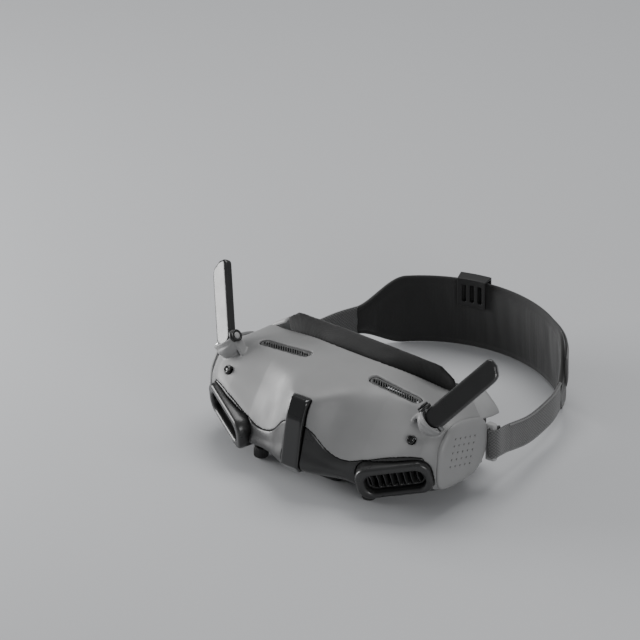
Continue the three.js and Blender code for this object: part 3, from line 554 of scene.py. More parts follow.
def soften(obj, voxel, rounds):
    """Remeshes a solid evenly and wears its sharp edges round."""
    remesh = obj.modifiers.new("remesh", "REMESH")
    remesh.mode = "VOXEL"
    remesh.voxel_size = voxel * MM * 1
    return smoothed(obj, rounds)


def points_of(obj):
    """The mesh's points, in the row frame's metres."""
    return np.array([v.co for v in obj.data.vertices])


def own_millimetres(points):
    """The reverse of row(): x, y and z in the object's own millimetres."""
    return (points / MM + (0, DEPTH_ORIGIN, 0)).T


def move_points(obj, points):
    obj.data.vertices.foreach_set("co", points.ravel())
    obj.data.update()


def soften_near(obj, places, reach, rounds):
    """Smooths a solid round each place, fading out at reach millimetres."""
    points = points_of(obj)
    far = np.min([np.linalg.norm(points - row(p), axis=1) for p in places], axis=0) / MM
    share = 1 - smoothstep(far, 0.55 * reach, reach)
    group = obj.vertex_groups.new(name="near")
    for index in np.nonzero(share)[0]:
        group.add([int(index)], float(share[index]), "REPLACE")
    smoothed(obj, rounds, "near")
    obj.vertex_groups.clear()
    return obj


def copied(obj, name):
    twin = bpy.data.objects.new(name, obj.data.copy())
    bpy.context.collection.objects.link(twin)
    return twin


def mirrored(obj):
    """A copy on the other side of the middle."""
    twin = copied(obj, "mirrored")
    twin.data.transform(Matrix.Scale(-1, 4, (1, 0, 0)))
    twin.data.flip_normals()
    return twin


def both(obj):
    return [obj, mirrored(obj)]


def finished(obj, name, material, body="housing", nodes=()):
    """Names a piece, gives it its material and says what it rides on and stands for."""
    obj.name = name
    obj.data.materials.clear()
    obj.data.materials.append(material)
    obj.data.polygons.foreach_set("use_smooth", [True] * len(obj.data.polygons))
    obj.data.update()
    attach(obj, body)
    if nodes:
        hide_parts(*nodes)
    return obj


def finished_pair(obj, name, material, body="housing", node=None):
    """The right piece and its mirror image. In body and node, {} stands for the side."""
    pieces = []
    for side, piece in (("right", obj), ("left", mirrored(obj))):
        nodes = [node.format(side)] if node else []
        pieces.append(finished(piece, f"{name}_{side}", material, body.format(side), nodes))
    return pieces


# ---------------------------------------------------------------- the shells' outer form
# Each station is one slice across X: its half-width place, then points (Y, Z) from the rear top
# edge over the top, down the front and back along the underside.
STATIONS = (
    (0, [[44, 63.5], [28, 62.5], [0, 59], [-7, 55.5], [-10, 49], [-12, 42], [-15.5, 30],
         [-17, 19], [-8, 11.5], [14, 3], [44, 4]]),
    (8.5, [[44, 63.5], [28, 62.5], [1, 58.8], [-6, 54], [-9.5, 47.5], [-11, 41.5], [-14, 30],
           [-16, 19], [-7, 11.5], [14, 3], [45, 4]]),
    (20, [[45, 63], [29, 62], [11, 58.5], [3, 51], [-3.5, 40.5], [-8, 30], [-9.8, 24],
          [-10.5, 18], [-3, 11.5], [18, 5], [48, 5]]),
    (30, [[48, 61], [29.5, 61], [16, 57.5], [7, 49], [-1, 38], [-6, 27], [-7, 22],
          [-7, 16.5], [0, 11.5], [20, 6.5], [51, 6.5]]),
    (40, [[51, 58.5], [29.5, 60], [19, 57], [10, 48.5], [2, 38.5], [-3.5, 29.5], [-4.5, 22],
          [-4.5, 15], [2, 11], [20, 7.5], [54, 8]]),
    (60, [[56, 53.5], [31, 58], [21, 55.5], [13, 49.5], [7, 42.5], [2.5, 35.5], [2, 25],
          [3, 16], [9, 10.5], [24, 9], [57, 10]]),
    (72, [[57.5, 51.5], [33, 54], [23, 53.3], [16.5, 49], [11, 43.5], [8, 37], [8, 28],
          [9, 19], [14, 13], [26, 11], [58, 12]]),
    (80, [[56, 43], [36, 50.5], [26, 50.5], [20.5, 47], [16.5, 42], [14, 36], [13.5, 28],
          [14, 21], [18, 15.5], [28, 13], [56, 16]]),
)
STATION_X = [x for x, _ in STATIONS]
STATION_POINTS = np.array([points for _, points in STATIONS], float)
SEAM_ROW = 5
SEAM_DROP = (73.5, 77.5)
SEAM_END = 7
REAR_REACH = 14
SHELL_VOXEL = 0.55
BAR_HALF = 6
THROUGH_REAR = (20, 110)           # Y from inside the body to past the face side
LEFT_WALL = (-90, -70)             # X through the left end of the body


def slice_at(x):
    """The station points at any x, smooth across the stations and mirrored about the middle."""
    reach = abs(x)
    last = len(STATION_X) - 1
    k = max(i for i in range(last) if STATION_X[i] <= reach)
    before = STATION_POINTS[k - 1] if k else STATION_POINTS[1]
    here, after, beyond = (STATION_POINTS[min(k + n, last)] for n in (0, 1, 2))
    t = (reach - STATION_X[k]) / (STATION_X[k + 1] - STATION_X[k])
    return spline(before, here, after, beyond, t)


def seam_height(x):
    """The seam follows a station row, and past the vents it drops below the side walls."""
    return mix(slice_at(x)[SEAM_ROW][1], SEAM_END, smoothstep(abs(x), *SEAM_DROP))


def rear_depth(x):
    points = slice_at(min(abs(x), HALF_WIDTH - 0.1))
    return (points[0][0] + points[-1][0]) / 2 + 1.5


def outer_form():
    rings = [lifted("x", smooth_line(slice_at(x), 10), x) for x in np.linspace(-HALF_WIDTH, HALF_WIDTH, 161)]
    return loft("outer", rings)


def inner_form():
    """The hollow: each slice moved inwards by the wall, and open past the rear."""
    rings = []
    for x in np.linspace(-HALF_WIDTH, HALF_WIDTH, 65):
        line = smooth_line(slice_at(x), 4)
        slope = unit(np.concatenate([line[1:2], line[2:], line[-1:]]) - np.concatenate([line[:1], line[:-1]]))
        line = line + np.stack([-slope[:, 1], slope[:, 0]], axis=1) * WALL
        line[[0, -1], 0] += REAR_REACH
        rings.append(lifted("x", line, x * (HALF_WIDTH - WALL) / HALF_WIDTH))
    return loft("inner", rings)


def seam_region(side):
    """Everything above (side 1) or below (side -1) the seam between the two shells."""
    xs = np.linspace(-HALF_WIDTH, HALF_WIDTH, 161)
    line = [(x, seam_height(x) + side * GAP / 2) for x in xs]
    far = 100 if side > 0 else -20
    ends = [(95, line[-1][1]), (95, far), (-95, far), (-95, line[0][1])]
    return slab("region", "y", line + ends, -60, 120)


def shell_half(side):
    return common(cut(outer_form(), inner_form()), seam_region(side))


# ---------------------------------------------------------------- places on the front
def placing(basis, at):
    """A function that sets points built round the origin into a turned place."""
    turn = np.array(basis, float)
    return lambda points: np.asarray(points, float) @ turn.T + np.array(at, float)


def turning(*steps):
    """One rotation from (axis, degrees) steps, done in that order about the fixed axes."""
    whole = Matrix.Identity(3)
    for axis, degrees in steps:
        whole = Matrix.Rotation(math.radians(degrees), 3, axis) @ whole
    return whole


AT_VENT = placing(turning(("X", VENT_NOD), ("Y", -VENT_RISE), ("Z", VENT_TURN)), VENT_CENTRE)
AT_WINDOW = placing(turning(("X", -40), ("Z", 18)), WINDOW)


def hinge_place(lift):
    """The hinge's frame: X along the pin, Y along the blade and Z out of its face."""
    across = Vector(ANTENNA_AXIS).normalized()
    along = Matrix.Rotation(math.radians(lift), 3, across) @ Vector((0, 1, 0))
    return placing(Matrix((across, along, across.cross(along))).transposed(), ANTENNA_PIVOT)


AT_HINGE = hinge_place(0)
AT_ANTENNA = hinge_place(ANTENNA_LIFT)


def vent_pocket():
    outline = round_rect(VENT_SIZE[0] + 2 * GAP, VENT_SIZE[1] + 2 * GAP, 7.5 + GAP)
    return slab("pocket", "y", outline, -12, 14, place=AT_VENT)


BAR_SIDE = [[-4.6, 57.4], [-8.8, 57], [-11.4, 52.5], [-13.6, 46], [-15.6, 37], [-18.6, 19],
            [-15, 14.6], [-8.6, 15.4], [-10, 30], [-7, 46], [-3.4, 54]]


def antenna_cradle():
    """A bowl that holds the blade's round heel, with a knuckle on a post beside it."""
    bulge = smooth_line([(3.4, KNUCKLE_INNER), (5.2, -5.8), (6.5, -2.5), (6.8, 0), (6.5, 2.5), (5.2, 5.8),
                         (3.4, KNUCKLE_END)], 5)
    dip = smooth_line([(2.6, KNUCKLE_BLADE), (4.3, -5), (5.3, -2.5), (5.6, 0), (5.3, 2.5), (4.3, 5),
                       (2.6, KNUCKLE_OUTER)], 5)
    bowl, hollow = (turned("bowl", "x", [(0, line[0][1]), *line, (0, line[-1][1])], place=AT_HINGE)
                    for line in (bulge, dip))
    below = join(box("below", -20, 20, -9, 0, -9, 0.5, place=AT_HINGE),
                 box("behind", -20, 20, -0.1, 9, -9, -3.4, place=AT_HINGE))
    swelling = np.radians(np.linspace(0, 180, 25))
    dome = [(7.6 * math.sin(t), -8.4 * math.cos(t)) for t in swelling]
    mound = turned("mound", "x", dome, (0, -2.4), place=AT_HINGE)
    common(mound, box("under", -20, 20, -12, 12, -12, -3, place=AT_HINGE))
    cut(mound, copied(hollow, "hollow"))
    common(cut(bowl, hollow), below)
    join(bowl, mound, rod("knuckle", "x", 3.5, KNUCKLE_INNER, KNUCKLE_BLADE, place=AT_HINGE),
         box("post", KNUCKLE_INNER, KNUCKLE_BLADE, -2.9, 2.9, -11, 0, place=AT_HINGE))
    return cut(bowl, rod("bore", "x", PIN_RADIUS + GAP, -20, 20, place=AT_HINGE))


def button_hole():
    return rod("button_hole", "x", BUTTON_RADIUS + GAP, *LEFT_WALL, (BUTTON_Y, BUTTON_Z))


SOCKETS = {
    "audio": (24, 5.6, 5.6, 2.79),
    "power": (34, 9.6, 4.2, 2.0),
    "card": (46, 12.6, 2.8, 0.6),
}


def side_openings():
    holes = [button_hole()]
    for y, width, height, radius in SOCKETS.values():
        outline = round_rect(width + 2 * GAP, height + 2 * GAP, radius + GAP, y, SOCKET_Z)
        holes.append(slab("socket_hole", "x", outline, *LEFT_WALL))
    return holes


def bar_slot():
    return slab("bar_slot", "x", grown(BAR_SIDE, GAP), -BAR_HALF - GAP, BAR_HALF + GAP)


def upper_shell():
    cradle = cut(antenna_cradle(), inner_form())
    shell = join(shell_half(1), *both(cradle))
    openings = both(vent_pocket())
    openings += both(rod("window_hole", "y", WINDOW_RADIUS + GAP, -8, 8, place=AT_WINDOW))
    slot = round_rect(SLOT_LENGTH + 0.2, SLOT_WIDTH + 0.2, SLOT_WIDTH / 2 + 0.09, SLOT_X, SLOT_Y)
    openings += both(slab("top_slot", "z", slot, 40, 80))
    openings += [bar_slot(), *side_openings()]
    cut(shell, *openings)
    soften(shell, SHELL_VOXEL, 4)
    x, y, z = ANTENNA_PIVOT
    soften_near(shell, [(x, y, z), (-x, y, z)], 16, 9)
    return finished(shell, "shell_upper", SHELL, nodes=["upper_housing"])


def screw_pocket(x, y, z):
    return join(rod("counterbore", "z", 2.1 + GAP, z - 8, z + 0.7 + GAP, (x, y)),
                rod("screw_hole", "z", 1.1 + GAP, z, z + 12, (x, y)))


def lower_shell():
    """The lower housing: keel, posts for the guide rods, knob slots, screw pockets and sockets."""
    shell = shell_half(-1)
    keel = cut(slab("keel", "z", round_rect(30, 24, 6, 0, 21), 0, 6.4, 0.8), inner_form())
    posts = []
    for y in ROD_DEPTHS:
        bore = rod("rod_bore", "x", ROD_RADIUS + GAP, 0, 90, (y, ROD_Z))
        post = cut(box("post", 50, 53, y - 3, y + 3, 8.6, 15.6), bore)
        posts += both(post)
    join(shell, keel, *posts)
    play = 2.2
    reach = EYE_TRAVEL + play
    openings = both(vent_pocket())
    openings += both(box("knob_slot", KNOB_X - reach, KNOB_X + reach, KNOB_Y - play, KNOB_Y + play, 0, 14.2))
    for place in SCREWS:
        openings += both(screw_pocket(*place))
    openings += [bar_slot(), *side_openings()]
    cut(shell, *openings)
    soften(shell, SHELL_VOXEL, 5)
    return finished(shell, "shell_lower", CHARCOAL, nodes=["lower_housing"])


# ---------------------------------------------------------------- side panels
PANEL_SIDE = [[15.5, 37], [15, 22], [20.5, 16.4], [42, 15], [51, 18.5], [56, 26], [57, 36], [54.5, 43],
              [47, 47.2], [33, 50.6], [24.5, 49.6], [18.5, 44]]
PANEL_FACE = HALF_WIDTH + GAP + PANEL_THICK
DOT_CENTRE = (33.5, 34)
DOT_PITCH = (4.7, 4.1)
DOT_TILT = -17                     # the rows run down towards the rear
DOT_RADIUS = 0.75


def side_panel():
    """A plate that carries the shell's end on round to a softly crowned face."""
    face = PANEL_FACE
    outline = smooth_line(PANEL_SIDE, 8, closed=True)
    turns = np.radians(np.linspace(0, 90, 9))
    rings = [lifted("x", grown(outline, 0.5), HALF_WIDTH - 0.9), lifted("x", grown(outline, 1.3), HALF_WIDTH)]
    for turn in turns:
        inset = 5.6 * (1 - math.cos(turn))
        rings.append(lifted("x", grown(outline, 1.4 - inset), face - 2.9 * (1 - math.sin(turn))))
    return loft("panel", rings)


def touch_dots():
    """The five by five field of dots: each hole's place, and the dark dots that lie in them."""
    cos, sin = math.cos(math.radians(DOT_TILT)), math.sin(math.radians(DOT_TILT))
    steps = [((i - 2) * DOT_PITCH[0], (j - 2) * DOT_PITCH[1]) for i in range(5) for j in range(5)]
    places = [(DOT_CENTRE[0] + a * cos - b * sin, DOT_CENTRE[1] + a * sin + b * cos) for a, b in steps]
    face = PANEL_FACE
    holes = [rod("dot_hole", "x", DOT_RADIUS, face - 0.5, face + 1, place, sides=16) for place in places]
    width = DOT_RADIUS - 0.06
    dome = [(0, face - 0.75), (width, face - 0.75), (width, face - 0.42), (0, face - 0.25)]
    dots = [turned("dot", "x", dome, place, 16) for place in places]
    return holes, dots


def add_side_panels():
    right = side_panel()
    left = cut(mirrored(right), *side_openings())
    holes, dots = touch_dots()
    cut(right, *holes)
    for plate in (right, left):
        soften(plate, 0.22, 2)
    finished(right, "side_plate_right", SHELL, nodes=["side_panel_right"])
    finished(left, "side_plate_left", SHELL, nodes=["side_panel_left"])
    field = join(dots[0], *dots[1:])
    finished(field, "touch_dots", BLACK_PLASTIC)


upper_shell()
lower_shell()
add_side_panels()


# ---------------------------------------------------------------- centre bar, vents and windows
def centre_bar():
    """The gloss black band down the middle of the front."""
    front, back = smooth_line(BAR_SIDE[:6], 3), smooth_line(BAR_SIDE[6:], 3)
    bar = soften(slab("bar", "x", np.concatenate([front, back]), -BAR_HALF, BAR_HALF, 1.3), 0.3, 8)
    finished(bar, "front_bar", PIANO_BLACK, nodes=["centre_bar"])


def opening_outline(inset=0.0):
    return grown(round_rect(**VENT_OPENING), -inset)


def ring_between(name, outer, inner, start, end, edge, place):
    """A frame round an opening, with both its front edges rounded; depth runs along Y."""
    turns = np.radians(np.linspace(0, 90, 7))
    rings = [lifted("y", outer, end)]
    rounding = [(edge * (1 - math.cos(t)), start + edge * (1 - math.sin(t))) for t in turns]
    rings += [lifted("y", grown(outer, -inset), depth) for inset, depth in rounding]
    rings += [lifted("y", grown(inner, inset), depth) for inset, depth in rounding[::-1]]
    rings.append(lifted("y", inner, end))
    return loft(name, place(np.array(rings)), closed=True)


def vent_bezel():
    rim = ring_between("bezel", round_rect(*VENT_SIZE, 7.5), opening_outline(), -3.5, 5.5, 1.8, AT_VENT)
    finished_pair(rim, "vent_surround", CHARCOAL, node="vent_bezel_{}")


def louvre(x, half, lean):
    """One upright vane with a leaf-shaped section, bowed a little to one side."""
    rings = []
    for t in np.linspace(-1, 1, 13):
        chord = [(-0.75, 0.5), (-0.35, 0.75), (0.2, 2.2), (0.55, 3.6), (0.7, 4.5), (0.05, 4.5), (-0.2, 3.4),
                 (-0.55, 2.0), (-0.95, 1.0)]
        section = smooth_line(chord, 2, closed=True)
        bow = lean * 0.7 * (1 - t * t)
        level = VENT_OPENING["cy"] + half * t
        rings.append([(x + bow + a, b, level) for a, b in section])
    return loft("louvre", AT_VENT(np.array(rings)))


def vent_louvres():
    count = 8
    width, height, cx = (VENT_OPENING[k] for k in ("width", "height", "cx"))
    grille = ring_between("rim", opening_outline(0.4), opening_outline(1.6), 1, 4.8, 0.35, AT_VENT)
    vanes = []
    for i in range(count):
        share = i / (count - 1) - 0.5
        half = height / 2 - (2.2 if i in (0, count - 1) else 0.9)
        vanes.append(louvre(cx + (width - 6.4) * share, half, -2 * share))
    join(grille, *vanes)
    finished_pair(grille, "vent_louvres", CHARCOAL, node="vent_grille_{}")


def mesh_strip(slant):
    """A strip below the top surface, pierced with a row of fine slanted slots."""
    place = placing(turning(("X", 7), ("Y", 5.5)), (SLOT_X, SLOT_Y, 58.6))
    outline = round_rect(SLOT_LENGTH - 1, SLOT_WIDTH - 1, 2.99)
    strip = slab("strip", "z", outline, -0.6, 0.6, 0.25, place=place)
    slots = []
    lean = np.array(turning(("Z", slant)))
    for i in range(19):
        slot = round_rect(0.8, 4.6 if 1 < i < 17 else 3.0, 0.38, steps=3)
        turned_slot = slot @ lean[:2, :2].T + ((i - 9) * 1.7, 0)
        slots.append(slab("slot", "z", turned_slot, -2, 2, place=place))
    return cut(strip, *slots)


def top_meshes():
    """Both strips slant the same way, so the left one isn't a mirror image."""
    other = mesh_strip(-38)
    for side, strip in (("right", mesh_strip(38)), ("left", mirrored(other))):
        finished(strip, f"vent_mesh_{side}", MESH_METAL, nodes=[f"top_mesh_{side}"])
    bpy.data.objects.remove(other)


def sensor_window():
    """A small dark dome inside a raised rim."""
    profile = [(0, -1.3), (0.7, -1.25), (1.15, -1.05), (1.4, -0.8), (1.6, -1.1), (1.7, -1.55), (1.95, -1.8),
               (2.2, -1.65), (WINDOW_RADIUS, -1.3), (WINDOW_RADIUS, 1.5), (0, 1.5)]
    window = turned("window", "y", profile, place=AT_WINDOW)
    finished_pair(window, "sensor_dome", PIANO_BLACK, node="sensor_window_{}")


# ---------------------------------------------------------------- antennas
def blade_outline():
    half, reach = ANTENNA_WIDTH / 2, ANTENNA_REACH
    heel = arc(0, HEEL_CENTRE, half, 180, 360, 20)
    bend = [(half, reach - 9), (half - 0.35, reach - 5.6), (half - 1.6, reach - 3), (half - 4, reach - 1.5)]
    tip = [(half - 6.5, reach), *arc(-half + 3, reach - 3, 3, 90, 180, 6)]
    sides = [(half, y) for y in (9, 18, 28)]
    return np.concatenate([heel, sides, smooth_line(bend, 3), tip, [(-half, y) for y in (28, 18, 9)]])


def antenna():
    """A flat paddle with softly crowned faces and full round edges, bored for its pin."""
    outline, thick = blade_outline(), ANTENNA_THICK / 2
    turns = np.radians(np.linspace(0, 90, 8))
    insets = 2.3 * (1 - np.sin(turns))
    levels = thick * (0.34 + 0.66 * np.cos(turns) ** 0.8)
    rings = [lifted("z", grown(outline, -2.6), thick)]
    rings += [lifted("z", grown(outline, -i), z) for i, z in zip(insets, levels)]
    rings += [lifted("z", grown(outline, -i), -z) for i, z in zip(insets[::-1], levels[::-1])]
    rings.append(lifted("z", grown(outline, -2.6), -thick))
    blade = loft("blade", AT_ANTENNA(np.array(rings)))
    cut(blade, rod("bore", "x", PIN_RADIUS + GAP, -20, 20, place=AT_ANTENNA))
    soften(blade, 0.4, 4)
    finished_pair(blade, "antenna_paddle", ANTENNA_BLACK, "antenna_{}", "antenna_{}")


def hinge_cap():
    """A dark ring on the inner end of the hinge line, round a pale disc."""
    face, back = KNUCKLE_INNER - 1.4, KNUCKLE_INNER - GAP
    rim = [(0, back - 0.35), (2.2, back - 0.35), (2.2, face + 0.3), (2.45, face), (3.2, face),
           (3.5, face + 0.3), (3.5, back), (0, back)]
    ring = turned("ring", "x", rim, place=AT_HINGE)
    finished_pair(ring, "hinge_ring", BLACK_PLASTIC, node="hinge_cap_{}")
    button = [(0, face - 0.1), (1.2, face), (1.9, face + 0.3), (2.05, face + 0.6), (2.05, back - 0.4),
              (0, back - 0.4)]
    disc = turned("disc", "x", button, place=AT_HINGE)
    finished_pair(disc, "hinge_disc", LIGHT_PLASTIC)


def hinge_sleeve():
    """A dark sleeve over the knuckle, between the cap and the blade."""
    start, end = KNUCKLE_INNER + 0.05, KNUCKLE_BLADE - 0.05
    wall = [(3.5, start), (4.0, start + 0.3), (4.0, end - 0.3), (3.6, end), (3.0, end), (3.0, start)]
    sleeve = turned("sleeve", "x", wall, place=AT_HINGE)
    finished_pair(sleeve, "hinge_sleeve", BLACK_PLASTIC)


centre_bar()
vent_bezel()
vent_louvres()
top_meshes()
sensor_window()
antenna()
hinge_cap()
hinge_sleeve()


# ---------------------------------------------------------------- the face side's padding
def face_wall(name, start, end, curl, half):
    """A wall that follows the rear of the body in plan; its ends curl towards the wearer."""
    xs = np.linspace(-half, half, 37)
    depth = np.array([rear_depth(x) for x in xs]) + curl * (xs / half) ** 4
    near = np.stack([xs, depth + start], axis=1)
    far = np.stack([xs[::-1], depth[::-1] + end], axis=1)
    return slab(name, "z", np.concatenate([near, far]), -5, 90)


def both_ways(points):
    """An outline's right half with its mirror image."""
    points = np.asarray(points, float)
    return np.concatenate([points, (points * (-1, 1))[::-1]])


def nose_notch(width, top):
    side = bent_line((width * 1.25, -5), (width * 0.75, top * 0.6), (width * 0.45, top))
    return slab("nose", "y", both_ways(side), *THROUGH_REAR)


def bent_line(start, pull, end):
    """A quadratic curve that leaves start and reaches end, bent towards pull."""
    t = np.linspace(0, 1, 11)[:, None]
    start, pull, end = (np.array(p, float) for p in (start, pull, end))
    return (1 - t) ** 2 * start + 2 * t * (1 - t) * pull + t * t * end


MASK_OUTER = ((30, 0), (46, 0), (58, 3), (65, 12), (67, 30), (64, 43), (52, 50), (30, 51.5))
MASK_INNER = ((46, 11), (56, 17), (58, 30), (54, 39), (42, 44.8))


PAD_PRESSURE = 4.0
SWELL_FRAMES = 20


def swell(obj, cap, free):
    """Lets a closed skin swell like a filled cover. No point moves further than cap millimetres.

    free gives each point's freedom, from 0 where the cover is held down to 1 where it swells.
    """
    start = points_of(obj)
    cloth = obj.modifiers.new("cloth", "CLOTH")
    cloth.settings.use_pressure = True
    cloth.settings.uniform_pressure_force = PAD_PRESSURE
    cloth.settings.effector_weights.gravity = 0
    cloth.settings.tension_stiffness = 25
    cloth.settings.bending_stiffness = 1.5
    cloth.point_cache.frame_end = SWELL_FRAMES
    scene = bpy.context.scene
    for number in range(1, SWELL_FRAMES + 1):
        scene.frame_set(number)
    graph = bpy.context.evaluated_depsgraph_get()
    mesh = obj.evaluated_get(graph).to_mesh()
    moved = np.array([v.co for v in mesh.vertices]) - start
    obj.modifiers.clear()
    far = np.linalg.norm(moved, axis=1, keepdims=True)
    limit = cap * MM
    eased = limit * np.tanh(far / limit)
    moved *= eased / np.maximum(far, 1e-9) * free(start)[:, None]
    move_points(obj, start + moved)
    scene.frame_set(1)
    return obj


def rounded_off(obj):
    """One subdivision, applied."""
    modifier = obj.modifiers.new("subdivision", "SUBSURF")
    modifier.levels = modifier.render_levels = 1
    return settle(obj)


def face_mask():
    """Open-cell foam round the eyes: full round edges, pulled in to the frame at its back."""
    outer = slab("outer", "y", grown(both_ways(MASK_OUTER), -0.9), *THROUGH_REAR)
    ring = common(face_wall("mask", 4.4, 16.2, 8, 69), outer)
    cut(ring, slab("inner", "y", grown(both_ways(MASK_INNER), 0.9), *THROUGH_REAR), nose_notch(15.9, 22.9))
    soften(ring, 2.2, 6)

    def free(points):
        depth = np.array([rear_depth(x / MM) for x in points[:, 0]])
        return smoothstep(points[:, 1] / MM + DEPTH_ORIGIN - depth, 5, 10)

    swell(ring, 1.4, free)
    rounded_off(ring)
    finished(ring, "eye_foam", FOAM, nodes=["face_mask"])


def forehead_pad():
    """A soft lip along the rear edge of the top, thin at its crest and full at its foot."""
    half, rings = 59, []
    for x in np.linspace(-half, half, 61):
        reach = abs(x) / 56
        rear, top = slice_at(x)[0]
        crest_y = 53 + 4 * reach**2
        crest_z = 70.6 - 3.6 * reach**2 - 5 * smoothstep(reach, 0.88, 1.06)
        foot = max(top - 6.5, 52.2) + 0.4
        line = [(rear + 2.2, foot), (rear + 2.1, mix(foot, top, 0.5)), (rear + 2.2, top + 0.4),
                (mix(rear + 2.2, crest_y - 0.7, 0.5), mix(top, crest_z, 0.52)),
                (crest_y - 0.7, crest_z - 0.5), (crest_y, crest_z), (crest_y + 0.8, crest_z - 0.6),
                (crest_y + 1.7, crest_z - 4.2), (max(rear + 5, crest_y + 1.2), mix(foot, crest_z - 4, 0.45)),
                (max(rear + 4.8, crest_y + 0.8), foot)]
        rings.append(lifted("x", smooth_line(line, 2, closed=True), x))
    pad = soften(loft("pad", np.array(rings)), 1.0, 3)

    def free(points):
        rear = np.array([slice_at(x / MM)[0][0] for x in points[:, 0]])
        return smoothstep(points[:, 1] / MM + DEPTH_ORIGIN - rear, 2.4, 5)

    swell(pad, 0.7, free)
    rounded_off(pad)
    finished(pad, "brow_pad", PAD_FABRIC, nodes=["forehead_pad"])


def on_strap_arc(angle, offset):
    turn = np.radians(angle)
    radius = STRAP_RADIUS + offset
    return radius * np.cos(turn), STRAP_CENTRE_Y + radius * np.sin(turn)


def pad_edges(angle):
    """The rear pad's lower and upper edge at a plan angle."""
    side = abs(angle - 90)
    low = mix(0, STRAP_HEIGHTS[0], smoothstep(side, 45, 66))
    return low, mix(PAD_HEIGHT, STRAP_HEIGHTS[1], smoothstep(side, 44, 66))


def from_edge(x, y, z):
    """How far points are inside the nearer of the rear pad's two edges."""
    angles = np.degrees(np.arctan2(y - STRAP_CENTRE_Y, x))
    low, high = np.array([pad_edges(a) for a in angles]).T
    return np.minimum(z - low, high - z)


def rear_pad():
    """The wide pad behind the head: a soft core with a bound edge, crowned between its edges."""
    half, rings = PAD_THICK / 2 - 0.4, []
    rise = np.linspace(0, 1, 19)
    profile = [(half, t) for t in rise] + [(-half, t) for t in rise[::-1]]
    for angle in np.linspace(PAD_ENDS[0] + 0.4, PAD_ENDS[1] - 0.4, 111):
        low, high = pad_edges(angle)
        ring = []
        for offset, t in profile:
            pinch = 0.55 if t in (0, 1) else 1
            ring.append((*on_strap_arc(angle, offset * pinch), mix(low + 0.3, high - 0.3, t)))
        rings.append(ring)
    pad = loft("pad", np.array(rings))

    def free(points):
        """The binding at both edges is sewn flat; the middle fills."""
        return smoothstep(from_edge(*own_millimetres(points)), 1.2, 6.5)

    swell(pad, 0.75, free)
    rounded_off(pad)
    press_seam(pad)
    finished(pad, "head_pad", PAD_FABRIC, nodes=["rear_pad"])


def press_seam(pad):
    """Presses a stitched channel a little way in from the pad's edges."""
    points = points_of(pad)
    x, y, z = own_millimetres(points)
    turn = np.arctan2(y - STRAP_CENTRE_Y, x)
    depth = 0.45 * np.exp(-((from_edge(x, y, z) - 2.6) / 0.75) ** 2)
    offset = np.hypot(x, y - STRAP_CENTRE_Y) - STRAP_RADIUS
    shift = -np.sign(offset) * depth * (np.abs(offset) > 0.7)
    points[:, 0] += shift * np.cos(turn) * MM
    points[:, 1] += shift * np.sin(turn) * MM
    move_points(pad, points)


face_mask()
forehead_pad()
rear_pad()


# ---------------------------------------------------------------- straps
def sideways(path):
    """The unit direction out of a plan path's outer side, at each of its points."""
    steps = np.gradient(path, axis=0)
    return unit(np.stack([steps[:, 1], -steps[:, 0]], axis=1))


def ribbon(name, path, heights, thickness, thin=()):
    """A woven strap along a plan path. The weave layer holds millimetres along and across it.

    path is (x, y) points and heights a (low, high) pair for each. Both faces and the edges are
    one skin, a little thicker inside the edges than at them. thin is the (thickness, run) of a
    thinner stretch at the start.
    """
    heights = np.asarray(heights, float)
    run = np.concatenate([[0], np.cumsum(np.linalg.norm(np.diff(path, axis=0), axis=1))])
    middle = np.linspace(0, 1, 11)
    across = np.concatenate([middle, middle[::-1]])
    face = np.concatenate([np.ones(11), -np.ones(11)])
    full = 1 - 0.55 * np.exp(-(np.minimum(across, 1 - across) / 0.035) ** 2)
    rings, weave = [], []
    for point, out, (low, high), along in zip(path, sideways(path), heights, run):
        local = mix(thin[0], thickness, smoothstep(along, thin[1] - 4, thin[1])) if thin else thickness
        offset = face * full * local / 2
        plan = point + offset[:, None] * out
        rings.append(np.column_stack([plan, mix(low, high, across)]))
        weave.append([(along, a * (high - low)) for a in across])
    strap = loft(name, np.array(rings))
    layer = strap.data.uv_layers.new(name="weave")
    flat = np.array(weave).reshape(-1, 2)
    corners = np.array([loop.vertex_index for loop in strap.data.loops])
    layer.data.foreach_set("uv", flat[corners].ravel())
    width = float(np.mean(heights[:, 1] - heights[:, 0]))
    return strap, width, run[-1]


HEM_DROP = 0.8                     # from the strap's upper edge down to its binding


def hem_line(name, path, tops, offset, radius):
    """A raised binding along a strap's upper edge, as a fine rounded bead on its outer face."""
    rings = []
    turns = np.radians(np.arange(0, 360, 45))
    for point, out, top in zip(path, sideways(path), tops):
        centre = point + out * offset
        swing = centre + out * radius * 0.55 * np.cos(turns)[:, None]
        rings.append(np.column_stack([swing, top - HEM_DROP + radius * np.sin(turns)]))
    return loft(name, np.array(rings))


FOLD_LINE = ((83.9, 67), (82.9, 64.4), (82.5, 61.5), (82.5, 58.9), (83.1, 57.3), (84.6, 56.8), (86.2, 57.5),
             (87.1, 59.4), (87.1, 61.8), (86.4, 65), (85.6, 68.5))
STRAP_LINE = ((84.9, 73, 16.6, 34.6), (83.8, 80, 14.5, 32.5), (82.4, 92, 11.5, 29.5), (80.9, 102, 10, 28))


def side_strap():
    """The strap's path: from its sewn end round the bracket's bar and back to the pad."""
    fold = [(x, y, mix(19.4, 17.7, smoothstep(y, 61, 69)), mix(37.1, 35.7, smoothstep(y, 61, 69)))
            for x, y in FOLD_LINE]
    turns = np.linspace(7, PAD_ENDS[0] + 1.6, 3)
    curved = [(*on_strap_arc(a, 0), *STRAP_HEIGHTS) for a in turns]
    return smooth_line([*fold, *STRAP_LINE, *curved], 6)


